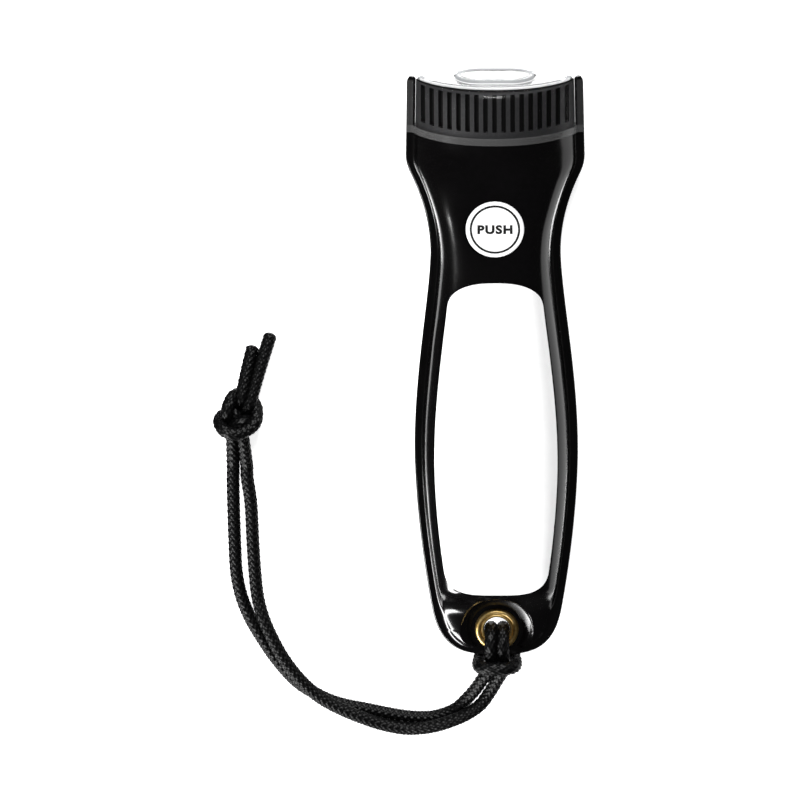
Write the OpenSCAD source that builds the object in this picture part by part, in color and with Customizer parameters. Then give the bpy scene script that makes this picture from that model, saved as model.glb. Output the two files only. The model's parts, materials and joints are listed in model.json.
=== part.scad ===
// Flat sealed flashlight with a press button, two back magnets and a knotted lanyard.
// All sizes in millimetres. X is across, Y runs from the tail to the lens, Z is up from the back.
// Places along the light are given as a distance from the tail edge of the skins.

/* [Body] */
// Length of the welded skins, tail edge to head edge
skin_len = 188; // [182:0.5:205]
// Width over the flange at the head
head_w = 54.9; // [50:0.1:60]
// Width over the flange at the waist
waist_w = 40.1; // [38:0.1:46]
// Width over the flange at the grip
grip_w = 50.8; // [48:0.1:58]
// Width that the sides run out to at the tail edge
tail_w = 34.8; // [30:0.1:40]
// Distance from the tail edge to the widest place of the grip
grip_s = 67.7; // [60:0.1:75]
// Distance from the head edge to the waist
waist_back = 56; // [52:0.1:60]
// Distance from the head edge to where the neck runs into the head
neck_back = 28; // [25:0.1:31]
// Width of the welded flange round the edge
flange_w = 2.8; // [2:0.1:4]
// Height of the front above the flange plane at the head
head_h = 16.8; // [15.5:0.1:19]
// Height of the front above the flange plane at the grip
grip_h = 15.5; // [14.5:0.1:18]
// Height of the low front beside the eyelet above the flange plane
tail_h = 3.5; // [2.5:0.1:5]
// Depth of the back below the flange plane
back_h = 9; // [8.5:0.1:11]
// Thickness of a vinyl skin
skin_t = 0.8; // [0.6:0.05:1.2]
// Wall of the inner case
case_t = 1.5; // [1.2:0.1:1.8]

/* [Head] */
// Length of the ribbed bezel
bezel_len = 14.8; // [13:0.1:17]
// Wall of the bezel
bezel_t = 1.6; // [1.5:0.1:2]
// Rounding of the front edge of the bezel
rim_round = 2.5; // [1.5:0.1:3]
// Number of grip slots on each side of the bezel
slot_count = 17; // [11:2:17]
// Spacing of the grip slots
slot_pitch = 2.74; // [2.4:0.02:2.8]
// Width of a grip slot
slot_w = 1.4; // [1:0.1:1.6]
// Depth of a grip slot
slot_d = 1; // [0.6:0.1:1.1]
// Thickness of the clear window film
film_t = 0.5; // [0.3:0.05:0.8]
// Lap of the clear window over the black skin
film_lap = 1.7; // [1:0.1:3]
// Width of the raised oval on the lens
boss_w = 24; // [20:0.5:28]
// Depth of the raised oval on the lens
boss_d = 15; // [12:0.5:16]
// Height of the raised oval on the lens
boss_h = 2; // [1:0.1:3]

/* [Switch] */
// Distance from the head edge to the middle of the press pad
pad_back = 44; // [42:0.1:46]
// Diameter of the press pad
pad_d = 17.8; // [15:0.1:20]
// Travel of the press pad
travel = 1.2; // [0.8:0.1:1.6]
// Diameter of the plunger stem
stem_d = 7; // [5:0.1:8]
// Wire of the return spring
spring_wire = 0.7; // [0.5:0.05:0.8]

/* [Power] */
// Diameter of a cell
cell_d = 14.3; // [13.8:0.1:14.6]
// Length of a cell without its cap
cell_len = 49; // [47:0.1:50]
// Length of the cap on a cell
cap_len = 1.5; // [1:0.1:2]
// Thickness of the contact strips
strip_t = 0.4; // [0.3:0.05:0.6]

/* [Magnets] */
// Diameter of a magnet
magnet_d = 18; // [14:0.5:19]
// Thickness of a magnet
magnet_t = 4; // [3:0.1:4.2]
// How far a magnet pad stands out of the back
pad_lift = 0.5; // [0.3:0.05:1]

/* [Label] */
// Distance from the tail edge to the label
label_s0 = 24; // [21:0.1:30]
// Distance from the head edge to the label
label_back = 61.2; // [57:0.1:70]
// Margin between the label and the flange edge
label_margin = 6.4; // [5:0.1:9]
// Thickness of the label
label_t = 0.2; // [0.15:0.05:0.4]

/* [Lanyard] */
// Distance of the eyelet from the tail edge
eyelet_s = 8.8; // [8.2:0.1:10]
// Hole through the eyelet
eyelet_hole = 8.2; // [8.1:0.1:9]
// Outer diameter of the eyelet
eyelet_d = 13.7; // [13:0.1:15]
// Diameter of the cord
cord_d = 3.9; // [3:0.1:3.9]

/* [Fits] */
// Gap between the skins and the inner case
case_gap = 0.15; // [0.1:0.05:0.3]
// Gap under the label
label_gap = 0.15; // [0.1:0.01:0.3]
// Gap under film and eyelet
seat_gap = 0.08; // [0.05:0.01:0.15]
// Gap round sliding and slipped in pieces
slide_gap = 0.1; // [0.05:0.01:0.2]

/* [Hidden] */
$fn = 64;

flange_z = back_h + pad_lift;
rim_s = skin_len - 1;
bezel_s = rim_s - bezel_len;
film_s = bezel_s - film_lap;
neck_s = skin_len - neck_back;
waist_s = skin_len - waist_back;
end_s = 19;
total_len = rim_s + boss_h;

// Fullness of the section: boxy along the handle, lens shaped at the head
body_p = 5;
body_q = 2.2;
tail_p = 3.2;
tail_q = 1.4;
head_p = 2.2;
head_q = 1.3;

// Rise of the back at the head, which keeps the clear window off the surface
head_rise = film_t + 0.3;

// Dish that brings both skins together round the eyelet
dish_in = eyelet_d / 2 + 2;
function dish_run(rear) = rear ? 7 : 4.5;

// End of the low tail and length of the rise from it to the handle
low_s = 13.5;
low_run = 11;

button_s = skin_len - pad_back;
case_s = 27;
case_in = case_s + case_t;

function at(s) = s - total_len / 2;
function ease(t) = t <= 0 ? 0 : t >= 1 ? 1 : t * t * (3 - 2 * t);
function mix(a, b, t) = a + (b - a) * t;
function soft_min(a, b, k) = min(a, b) - pow(max(k - abs(a - b), 0), 2) / (4 * k);

// Half width over the flange at a distance from the tail
function tail_side(s) = (grip_w - (grip_w - tail_w) * pow((grip_s - s) / grip_s, 1.75)) / 2;
function grip_side(s) =
    (waist_w + (grip_w - waist_w) * ease(pow((waist_s - s) / (waist_s - grip_s), 0.8))) / 2;
function neck_side(s) = (waist_w + (head_w - waist_w) * pow((s - waist_s) / (neck_s - waist_s), 2)) / 2;
function head_side(s) = head_w / 2 - 0.02 * (s - neck_s);
function side_w(s) =
    s < grip_s ? tail_side(max(s, 0))
    : s < waist_s ? grip_side(s)
    : soft_min(neck_side(s), head_side(s), 1.6);

// The tail edge is rounded off over its last stretch
end_n = 3.3;
function end_round(s) = s >= end_s ? 1 : pow(max(1 - pow((end_s - s) / end_s, end_n), 0), 1 / end_n);
function half_w(s) = side_w(s) * end_round(s);
function lean(s) = sqrt(1 + pow(half_w(s + 0.5) - half_w(s - 0.5), 2));

// Height of the front and depth of the back along the middle
function rim_fall(s, r) =
    s < rim_s - r ? 0 : r * (1 - sqrt(max(0, 1 - pow((s - rim_s + r) / r, 2))));
function handle_h(s) = grip_h - (grip_h - tail_h) * pow((grip_s - max(s, 0)) / grip_s, 1.9);
function front_h(s) =
    s < grip_s ? mix(tail_h, handle_h(s), tail_mix(s))
    : mix(grip_h, head_h, ease((s - grip_s) / (neck_s - grip_s))) - rim_fall(s, rim_round);
function rear_h(s) =
    s < 25 ? back_h - (back_h - 4.5) * pow((25 - max(s, 0)) / 25, 2)
    : back_h - head_rise * head_mix(s) - rim_fall(s, 0.4 * rim_round);
function side_h(s, rear) = rear ? rear_h(s) : front_h(s);
function head_mix(s) = ease((s - neck_s + 14) / 22);
function tail_mix(s) = ease((s - low_s) / low_run);
function full_p(s) = mix(mix(tail_p, body_p, tail_mix(s)), head_p, head_mix(s));
function full_q(s) = mix(mix(tail_q, body_q, tail_mix(s)), head_q, head_mix(s));
function flat(x, s, rear) = 1 - ease((norm([x, s - eyelet_s]) - dish_in) / dish_run(rear));

// Height of the outer skin above the flange plane at a place across the front
function inner_half(s) = half_w(s) - flange_w * lean(s);
function over(x, s) = pow(1 - pow(min(abs(x) / inner_half(s), 1), full_p(s)), 1 / full_q(s));
function skin_z(x, s) = flange_z + skin_t + (front_h(s) - skin_t) * over(x, s) * (1 - flat(x, s, false));
function slope(x, s) = atan((skin_z(x + 0.2, s) - skin_z(x - 0.2, s)) / 0.4);

// A rib runs from an edge point to the spine: edge, spine point and lean of the edge
function straight_rib(s) = [[half_w(s), s], [0, s], lean(s)];
function fan_rib(a) =
    let (s = end_s * (1 - pow(sin(a), 2 / end_n)))
    [[side_w(s) * pow(max(cos(a), 0), 2 / end_n), s], [0, eyelet_s], 1];

// Point on a rib, swollen sideways by grow, raised by base, with height changed by lift
function rib_point(rib, grow, base, lift, a, rear) =
    let (
        edge = rib[0],
        spine = rib[1],
        whole = norm(edge - spine),
        run = whole - (flange_w - grow) * rib[2],
        u = max(pow(max(cos(a), 0), 2 / full_p(edge[1])), ridge_half / run),
        v = pow(sin(a), 2 / full_q(edge[1])),
        plan = spine + (edge - spine) * run * u / whole,
        rise = (side_h(plan[1], rear) + lift) * v * (1 - flat(plan[0], plan[1], rear))
    )
    [plan[0], at(plan[1]), base + rise];

// Half width of the narrow strip along the top of a shell
ridge_half = 0.4;

// Loop of points round one rib of a shell: flange edge, outer face, inner face
rib_angles = [0, 11, 22, 33, 45, 56, 67, 78, 85, 88.5, 90];
rib_n = len(rib_angles) - 1;
function shell_rib(rib, grow, base, lift, thick, under, rear, n) = concat(
    [[rib[0][0], at(rib[0][1]), under]],
    [[rib[0][0], at(rib[0][1]), base]],
    [for (a = rib_angles) rib_point(rib, grow, base, lift, a, rear)],
    [for (j = [n : -1 : 0]) rib_point(rib, grow - thick, under, lift, rib_angles[j], rear)]
);

function flip_x(p) = [-p[0], p[1], p[2]];
function two(a, b, c, d) = [[a, b, c], [a, c, d]];

// Shell over one face of the light, from straight ribs and then a fan round the tail
module shell(ribs, grow, base, lift, thick, under, rear, closed) {
    n = rib_n;
    m = 2 * n + 4;
    last = len(ribs) - 1;
    tail = closed ? 1 : 0;
    loops = [for (r = ribs) shell_rib(r, grow, base, lift, thick, under, rear, n)];
    right = [for (l = loops) each l];
    left = [for (i = [0 : last - tail]) each [for (p = loops[i]) flip_x(p)]];
    points = concat(right, left);
    shift = m * (last + 1);
    function r(i, k) = i * m + k % m;
    function l(i, k) = closed && i == last ? r(i, k) : shift + i * m + k % m;
    sides = [for (i = [0 : last - 1]) for (k = [0 : m - 1]) if (k != n + 2)
        each concat(
            two(r(i, k), r(i, k + 1), r(i + 1, k + 1), r(i + 1, k)),
            two(l(i, k), l(i + 1, k), l(i + 1, k + 1), l(i, k + 1)))];
    ridge = [for (i = [0 : last - 1])
        each concat(
            two(r(i, n + 2), l(i, n + 2), l(i + 1, n + 2), r(i + 1, n + 2)),
            two(r(i, n + 3), r(i + 1, n + 3), l(i + 1, n + 3), l(i, n + 3)))];
    head_end = end_faces(n, function (k) r(0, k), function (k) l(0, k), false);
    tail_end = closed ? [] : end_faces(n, function (k) r(last, k), function (k) l(last, k), true);
    faces = concat(sides, ridge, head_end, tail_end);
    whole = [for (f = faces) if (f[0] != f[1] && f[1] != f[2] && f[0] != f[2]) f];
    polyhedron(points, [for (f = whole) turned(f, true)]);
}

// Faces that close the cut end of a shell
function turned(f, yes) = yes ? [f[2], f[1], f[0]] : f;
function end_faces(n, r, l, away) =
    let (
        strips = [for (j = [0 : n - 1])
            each concat(
                two(r(2 + j), r(2 * n + 3 - j), r(2 * n + 2 - j), r(3 + j)),
                two(l(2 + j), l(3 + j), l(2 * n + 2 - j), l(2 * n + 3 - j)))],
        feet = concat(
            two(r(0), r(2 * n + 3), r(2), r(1)),
            two(l(0), l(1), l(2), l(2 * n + 3))),
        top = two(r(n + 2), r(n + 3), l(n + 3), l(n + 2))
    )
    [for (f = concat(strips, feet, top)) turned(f, away)];

// Solid through a row of closed loops that all have the same number of points
module loft(loops) {
    m = len(loops[0]);
    last = len(loops) - 1;
    points = [for (l = loops) each l];
    sides = [for (i = [0 : last - 1]) for (k = [0 : m - 1])
        each two(i * m + k, i * m + (k + 1) % m, (i + 1) * m + (k + 1) % m, (i + 1) * m + k)];
    start = [[for (k = [m - 1 : -1 : 0]) k]];
    end = [[for (k = [0 : m - 1]) last * m + k]];
    polyhedron(points, concat(sides, start, end));
}

// Section across the light as points from the right edge over to the left edge
function half_loop(s, grow, lift, rear, n) =
    let (run = inner_half(s) + grow * lean(s), up = rear ? -1 : 1)
    [for (j = [0 : 2 * n])
        let (a = 90 * j / n, c = cos(a))
        [sign(c) * run * pow(abs(c), 2 / full_p(s)), at(s),
            flange_z + up * (side_h(s, rear) + lift) * pow(max(sin(a), 0), 2 / full_q(s))]];
function whole_loop(s, grow, n) = concat(
    half_loop(s, grow, grow, false, n),
    [for (j = [2 * n - 1 : -1 : 1]) half_loop(s, grow, grow, true, n)[j]]
);

// Stations along the light, close together where the outline bends
head_stations = [for (i = [0 : 4]) bezel_s - i * (bezel_s - neck_s) / 4];
neck_stations = [for (i = [1 : 8]) neck_s - i * (neck_s - waist_s) / 8];
waist_stations = [for (i = [1 : 6]) waist_s - i * (waist_s - grip_s) / 6];
grip_stations = [for (i = [1 : 6]) mix(grip_s, 25, i / 6)];
tail_stations = [for (i = [1 : 8]) mix(25, eyelet_s, i / 8)];
stations = concat(head_stations, neck_stations, waist_stations, grip_stations, tail_stations);
fan_start = asin(pow((end_s - eyelet_s) / end_s, end_n / 2));
skin_ribs = concat(
    [for (s = stations) straight_rib(s)],
    [for (i = [1 : 7]) fan_rib(mix(fan_start, 90, i / 7))]
);

// Round bar along the light, and a plate standing across it
module rod(s0, s1, r, x, z) {
    translate([x, at(s0), z]) rotate([-90, 0, 0]) cylinder(h = s1 - s0, r = r);
}
module across(s1, thick) {
    translate([0, at(s1), 0]) rotate([90, 0, 0]) linear_extrude(thick) children();
}
module block(x0, x1, s0, s1, z0, z1) {
    translate([x0, at(s0), z0]) cube([x1 - x0, s1 - s0, z1 - z0]);
}

// Flange strip beside the bezel, with a rounded corner at the head edge
corner = 2.5;
function strip_outline(s0, s1) = concat(
    [for (i = [0 : 6]) let (s = mix(s0, s1 - corner, i / 6)) [half_w(s), at(s)]],
    [for (i = [1 : 6]) let (s = s1 - corner + corner * sin(15 * i))
        [half_w(s) - corner * (1 - cos(15 * i)), at(s)]],
    [for (i = [6 : -1 : 0]) let (s = mix(s0, s1, i / 6)) [inner_half(s) + seat_gap, at(s)]]
);
module flange_strips(s0, s1, z0, thick) {
    translate([0, 0, z0]) linear_extrude(thick) {
        polygon(strip_outline(s0, s1));
        mirror([1, 0]) polygon(strip_outline(s0, s1));
    }
}

// Skins
pad_r = pad_d / 2;
pad_hole_r = pad_r + slide_gap;
button_y = at(button_s);
eyelet_y = at(eyelet_s);
barrel_r = eyelet_hole / 2 + 0.45;
skin_hole_r = barrel_r + slide_gap / 2;

module front_skin() {
    color([0.03, 0.03, 0.03]) difference() {
        union() {
            translate([0, 0, flange_z])
                shell(skin_ribs, 0, skin_t, -skin_t, skin_t, 0, false, true);
            flange_strips(bezel_s - 1, skin_len, flange_z, skin_t);
        }
        translate([0, button_y, flange_z + 5]) cylinder(h = 30, r = pad_hole_r);
        translate([0, eyelet_y, flange_z - 5]) cylinder(h = 10, r = skin_hole_r);
    }
}

// Magnets sit in round pads of the back skin
magnet_r = magnet_d / 2;
magnet_z = skin_t;
keeper_z = magnet_z + magnet_t;
keeper_t = 1;
tray_wall = 1.6;
spring_len = 7.1;
tray_in = cell_len + cap_len + spring_len + 2 * strip_t;
tray_s0 = case_in + magnet_d + 2 + tray_wall;
tray_s1 = tray_s0 + tray_in;
lower_s = case_in + 1 + magnet_r;
frame_half = 8.5;
frame_w = 9.5;
frame_s0 = button_s - frame_half;
frame_s1 = button_s + frame_half;
upper_s = (tray_s1 + tray_wall + frame_s0) / 2;

module magnet_places() {
    for (s = [lower_s, upper_s]) translate([0, at(s), 0]) children();
}

// Room that the pieces above a magnet and its keeper leave free
module magnet_room() {
    magnet_places() cylinder(h = keeper_z + keeper_t + slide_gap, r = magnet_r + slide_gap);
}

module back_skin() {
    color([0.03, 0.03, 0.03]) difference() {
        union() {
            translate([0, 0, flange_z]) mirror([0, 0, 1])
                shell(skin_ribs, 0, skin_t, -skin_t, skin_t, 0, true, true);
            flange_strips(bezel_s - 1, skin_len, flange_z - skin_t, skin_t);
            magnet_places() cylinder(h = pad_lift + skin_t, r = magnet_r + slide_gap + skin_t);
        }
        magnet_places() translate([0, 0, magnet_z]) cylinder(h = 6, r = magnet_r + slide_gap);
        translate([0, eyelet_y, flange_z - 5]) cylinder(h = 10, r = skin_hole_r);
    }
}

module upper_magnet() {
    color([0.25, 0.25, 0.26]) translate([0, at(upper_s), magnet_z]) cylinder(h = magnet_t, r = magnet_r);
}
module lower_magnet() {
    color([0.25, 0.25, 0.26]) translate([0, at(lower_s), magnet_z]) cylinder(h = magnet_t, r = magnet_r);
}
module keeper(s) {
    color([0.6, 0.6, 0.62]) translate([0, at(s), keeper_z]) cylinder(h = keeper_t, r = magnet_r);
}
module upper_keeper() {
    keeper(upper_s);
}
module lower_keeper() {
    keeper(lower_s);
}

// Inner case in two halves that meet on the flange plane
case_out = skin_t + case_gap;
case_deep = case_out + case_t;
floor_z = flange_z - back_h + case_deep;
case_stations = concat(
    [for (i = [0 : 5]) mix(case_s, grip_s, i / 5)],
    [for (i = [1 : 6]) mix(grip_s, waist_s, i / 6)],
    [for (i = [1 : 8]) mix(waist_s, neck_s, i / 8)],
    [for (i = [1 : 4]) mix(neck_s, bezel_s, i / 4)]
);
function hollow_s(s) = s <= case_s ? case_in : s >= bezel_s ? bezel_s + 1 : s;

// Section of the case hollow, run past the flange plane so that the halves open to each other
function hollow_loop(s, rear, n) =
    let (loop = half_loop(s, -case_deep, -case_deep, rear, n), past = flange_z + (rear ? 1 : -1))
    concat([[loop[0][0], loop[0][1], past]], loop, [[loop[2 * n][0], loop[2 * n][1], past]]);
function facing(loop, rear) = rear ? [for (i = [len(loop) - 1 : -1 : 0]) loop[i]] : loop;

module case_half(rear) {
    difference() {
        loft([for (s = case_stations) facing(half_loop(s, -case_out, -case_out, rear, 6), rear)]);
        loft([for (s = case_stations)
            facing([for (p = hollow_loop(s, rear, 6)) [p[0], at(hollow_s(s)), p[2]]], rear)]);
    }
}

module case_front() {
    color([0.2, 0.2, 0.21]) difference() {
        case_half(false);
        translate([0, button_y, flange_z + 5]) cylinder(h = 30, r = pad_hole_r + slide_gap);
    }
}

module case_back() {
    color([0.2, 0.2, 0.21]) difference() {
        case_half(true);
        magnet_places() translate([0, 0, -1]) cylinder(h = 9, r = magnet_r + slide_gap);
    }
}

// Ribbed bezel round the lens
window_lip = 2;
lens_lap = 0.2;
front_brow = 6.6;
back_brow = 2.7;
window_front = head_h - front_brow;
window_back = back_h - back_brow;
window_half = inner_half(rim_s) - window_lip;
top_plate = 3;
function window_points(grow) = concat(
    [for (j = [0 : 12]) let (a = 15 * j, c = cos(a))
        [sign(c) * (window_half + grow) * pow(abs(c), 2 / head_p),
            flange_z + (window_front + grow) * pow(max(sin(a), 0), 2 / head_q)]],
    [for (j = [11 : -1 : 1]) let (a = 15 * j, c = cos(a))
        [sign(c) * (window_half + grow) * pow(abs(c), 2 / head_p),
            flange_z - (window_back + grow) * pow(sin(a), 2 / head_q)]]
);
bezel_stations = concat(
    [for (i = [0 : 3]) mix(bezel_s, rim_s - rim_round, i / 3)],
    [for (i = [1 : 5]) rim_s - rim_round + rim_round * sin(18 * i)]
);
slot_len = bezel_len - 1.8 - rim_round;
slot_mid = bezel_s + 1.8 + slot_len / 2;

module slots(rear) {
    spare = rear ? 1 : 0;
    for (i = [spare : slot_count - 1 - spare]) {
        x = (i - (slot_count - 1) / 2) * slot_pitch;
        z = skin_z(x, slot_mid);
        deep = flange_z - rear_h(slot_mid) * over(x, slot_mid);
        tilt = rear ? atan(rear_h(slot_mid) / head_h * tan(slope(x, slot_mid))) : -slope(x, slot_mid);
        translate([x, at(slot_mid), rear ? deep : z]) rotate([0, tilt, 0])
            cube([slot_w, slot_len, 2 * slot_d], center = true);
    }
}

module bezel() {
    color([0.12, 0.12, 0.12]) difference() {
        loft([for (s = bezel_stations) whole_loop(s, 0, 10)]);
        loft([for (s = [bezel_s - 1, bezel_s + 0.5, rim_s - top_plate])
            [for (p = whole_loop(max(s, bezel_s), -bezel_t, 10)) [p[0], at(s), p[2]]]]);
        across(rim_s + 1, top_plate + 2) polygon(window_points(0));
        slots(false);
        slots(true);
    }
}

// Lens held behind the bezel face, with a raised oval
lens_t = 1;
beam_z = flange_z + (window_front - window_back) / 2;

module lens() {
    color([0.85, 0.9, 0.92, 0.4]) union() {
        across(rim_s, top_plate) polygon(window_points(-slide_gap));
        across(rim_s - top_plate, lens_t) polygon(window_points(lens_lap));
        across(rim_s + boss_h, boss_h + 1) translate([0, beam_z]) {
            translate([(boss_w - boss_d) / 2, 0]) circle(d = boss_d);
            translate([-(boss_w - boss_d) / 2, 0]) circle(d = boss_d);
            square([boss_w - boss_d, boss_d], center = true);
        }
    }
}

// Reflector on a plate that lies behind the lens
plate_t = 1;
plate_s = rim_s - top_plate - lens_t;
cup_r = (window_front + window_back) / 2 - 0.6;
cup_deep = 7.5;
glass_r = 3.6;
neck_r = glass_r + 0.3;
neck_plate_s = plate_s - plate_t - cup_deep;
collar_r = 4.75;
function cup(t) = mix(neck_r, cup_r, sqrt(t));

module reflector() {
    color([0.8, 0.8, 0.82]) difference() {
        union() {
            across(plate_s, plate_t) polygon(window_points(lens_lap));
            translate([0, at(neck_plate_s), beam_z]) rotate([-90, 0, 0]) rotate_extrude()
                polygon(concat(
                    [for (i = [0 : 6]) [cup(i / 6) + 0.9, 0.8 + (cup_deep - 0.6) * i / 6]],
                    [[0, cup_deep + 0.2]],
                    [[0, -4.6]],
                    [[collar_r + 0.9, -4.6]],
                    [[collar_r + 0.9, 0.8]]));
        }
        translate([0, at(neck_plate_s), beam_z]) rotate([-90, 0, 0]) rotate_extrude()
            polygon(concat(
                [[0, -1]],
                [[neck_r, -1]],
                [for (i = [0 : 6]) [cup(i / 6), 0.8 + (cup_deep + 0.2 - 0.8) * i / 6]],
                [[cup_r, cup_deep + 2]],
                [[0, cup_deep + 2]]));
        rod(neck_plate_s - 6, neck_plate_s, collar_r, 0, beam_z);
    }
}

// Lamp with a flanged base, held by a sleeve in the reflector collar
lamp_flange_s = neck_plate_s - 0.8;
lamp_len = 9.8;
lamp_tip = 1;
lamp_base_s = lamp_flange_s - lamp_len;
lamp_tip_s = lamp_base_s - lamp_tip;
base_r = 4.2;
sleeve_len = 3.8;
sleeve_s = lamp_flange_s - sleeve_len;

module bulb_glass() {
    color([0.9, 0.9, 0.85, 0.5]) translate([0, at(neck_plate_s), beam_z]) rotate([-90, 0, 0])
        rotate_extrude() polygon(concat(
            [[0, 0]],
            [[glass_r - 0.8, 0]],
            [for (i = [0 : 6]) [glass_r - 0.8 * (1 - sin(15 * i)), 1 + 1.5 * i / 6]],
            [for (i = [1 : 6]) [glass_r * cos(15 * i), 3.4 + glass_r * sin(15 * i)]]));
}
module bulb_base() {
    color([0.72, 0.6, 0.3]) union() {
        rod(lamp_tip_s, lamp_base_s + 0.2, 1.2, 0, beam_z);
        rod(lamp_base_s, lamp_flange_s + 0.2, base_r, 0, beam_z);
        rod(lamp_flange_s, neck_plate_s, collar_r - 0.15, 0, beam_z);
    }
}
module bulb_sleeve() {
    color([0.7, 0.7, 0.72]) difference() {
        rod(sleeve_s, lamp_flange_s, collar_r - 0.05, 0, beam_z);
        rod(lamp_flange_s - 5, lamp_flange_s + 1, base_r + 0.05, 0, beam_z);
    }
}

// Cells side by side in a tray, one each way round
cell_r = cell_d / 2;
cell_x = cell_r + 0.4;
tray_half = cell_x + 4.45;
cradle_under = 3.2;
cell_z = floor_z + cradle_under + cell_r + slide_gap;
tray_z = floor_z + 0.8;

// Web along the middle of the tray, high enough to pass over a magnet
web_half = 2;
web_z = keeper_z + keeper_t + slide_gap + 1.2;

module tray_end(s) {
    rod(s, s + tray_wall, cell_r, -cell_x, cell_z);
    rod(s, s + tray_wall, cell_r, cell_x, cell_z);
    block(-tray_half, tray_half, s, s + tray_wall, tray_z, cell_z);
}
module strip_slot(x0, x1, z) {
    block(x0 - 0.2, x1 + 0.2, tray_s1 - 1, tray_s1 + tray_wall + 1, z - 0.2, z + strip_t + 0.2);
}
module battery_tray() {
    color([0.3, 0.3, 0.32]) difference() {
        union() {
            tray_end(tray_s0 - tray_wall);
            tray_end(tray_s1);
            block(-tray_half, tray_half, tray_s0 + 9, tray_s1 - 9, tray_z, cell_z - 3);
            block(-5, 5, tray_s0 - tray_wall, tray_s1 + tray_wall, floor_z + 0.25, tray_z + 0.8);
            block(-web_half, web_half, tray_s0 - tray_wall, tray_s1 + tray_wall, tray_z, web_z);
        }
        for (x = [-cell_x, cell_x]) rod(tray_s0 + 1, tray_s1 - 1, cell_r + slide_gap, x, cell_z);
        magnet_room();
        strip_slot(-strip_out, -strip_in, supply_z);
        strip_slot(strip_in, strip_out, return_z);
    }
}
module battery_left() {
    color([0.75, 0.55, 0.25]) union() {
        rod(tray_s1 - strip_t - cap_len - cell_len, tray_s1 - strip_t - cap_len, cell_r, -cell_x, cell_z);
        rod(tray_s1 - strip_t - cap_len - 1, tray_s1 - strip_t, 2.7, -cell_x, cell_z);
    }
}
module battery_right() {
    color([0.75, 0.55, 0.25]) union() {
        rod(tray_s0 + strip_t + cap_len, tray_s0 + strip_t + cap_len + cell_len, cell_r, cell_x, cell_z);
        rod(tray_s0 + strip_t, tray_s0 + strip_t + cap_len + 1, 2.7, cell_x, cell_z);
    }
}

// Outer and inner radius of the cell springs
spring_wide = 5;
spring_slim = 3.4;

// Coil spring along Z from 0 to its height, as rings of six points
function coil_ring(t, turns, tall, r0, r1, wire) =
    let (
        a = 360 * turns * t,
        r = mix(r0, r1, t),
        z = wire / 2 + (tall - wire) * t,
        out = [cos(a), sin(a), 0],
        climb = (tall - wire) / (2 * PI * r * turns),
        side = [-sin(a), cos(a), climb] / norm([1, climb]),
        up = cross(out, side)
    )
    [for (k = [0 : 5]) r * out + [0, 0, z] + wire / 2 * (cos(60 * k) * out + sin(60 * k) * up)];
module coil(turns, tall, r0, r1, wire) {
    n = ceil(8 * turns);
    loft([for (i = [0 : n]) coil_ring(i / n, turns, tall, r0, r1, wire)]);
}
module tail_spring() {
    color([0.8, 0.8, 0.82]) translate([-cell_x, at(tray_s0 + strip_t + 0.02), cell_z])
        rotate([-90, 0, 0]) coil(4, spring_len - 0.04, spring_wide, spring_slim, spring_wire);
}
module head_spring() {
    color([0.8, 0.8, 0.82]) translate([cell_x, at(tray_s1 - strip_t - 0.02), cell_z])
        rotate([90, 0, 0]) coil(4, spring_len - 0.04, spring_wide, spring_slim, spring_wire);
}
module bridge_plate() {
    color([0.8, 0.65, 0.3])
        block(-tray_half, tray_half, tray_s0, tray_s0 + strip_t, cell_z - 4, cell_z + 4);
}

// Press switch: pad and plunger push a bridge disc down onto two strips
pad_top_z = skin_z(0, button_s) + 0.15;
pad_t = skin_t + 0.15;
head_t = 1.2;
head_under_z = pad_top_z - pad_t - head_t;
frame_top_z = head_under_z - 5.2;
frame_t = 6.8;
disc_t = 0.5;
disc_z = frame_top_z - frame_t - 0.1 - disc_t;
supply_z = disc_z - travel - 0.05 - strip_t;
return_z = max(keeper_z + keeper_t + 0.5, beam_z - base_r - 0.9);
stem_r = stem_d / 2;
disc_r = 4.5;

module press_pad() {
    color([0.95, 0.95, 0.95]) translate([0, button_y, pad_top_z - pad_t]) cylinder(h = pad_t, r = pad_r);
}
module button_plunger() {
    color([0.85, 0.85, 0.85]) translate([0, button_y, 0]) union() {
        translate([0, 0, head_under_z]) cylinder(h = head_t, r = pad_r - 0.2);
        translate([0, 0, disc_z + disc_t]) cylinder(h = head_under_z - disc_z, r = stem_r);
    }
}
module contact_bridge() {
    color([0.8, 0.65, 0.3]) translate([0, button_y, disc_z]) cylinder(h = disc_t, r = disc_r);
}
module button_spring() {
    color([0.8, 0.8, 0.82]) translate([0, button_y, frame_top_z + 0.02])
        coil(3.5, head_under_z - frame_top_z - 0.04, stem_r + 1.7, stem_r + 1.7, spring_wire);
}
module switch_frame() {
    color([0.3, 0.3, 0.32]) difference() {
        union() {
            block(-frame_w, frame_w, frame_s0, frame_s1, frame_top_z - frame_t, frame_top_z);
            for (x = [-frame_w, frame_w - 2])
                block(x, x + 2, frame_s0, frame_s1, floor_z + 0.5, frame_top_z);
        }
        translate([0, button_y, 0]) cylinder(h = frame_top_z + 1, r = stem_r + slide_gap);
        magnet_room();
    }
}
// Nearer and farther edge of the strips from the middle of the light
strip_in = 2.5;
strip_out = 6.5;

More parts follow.
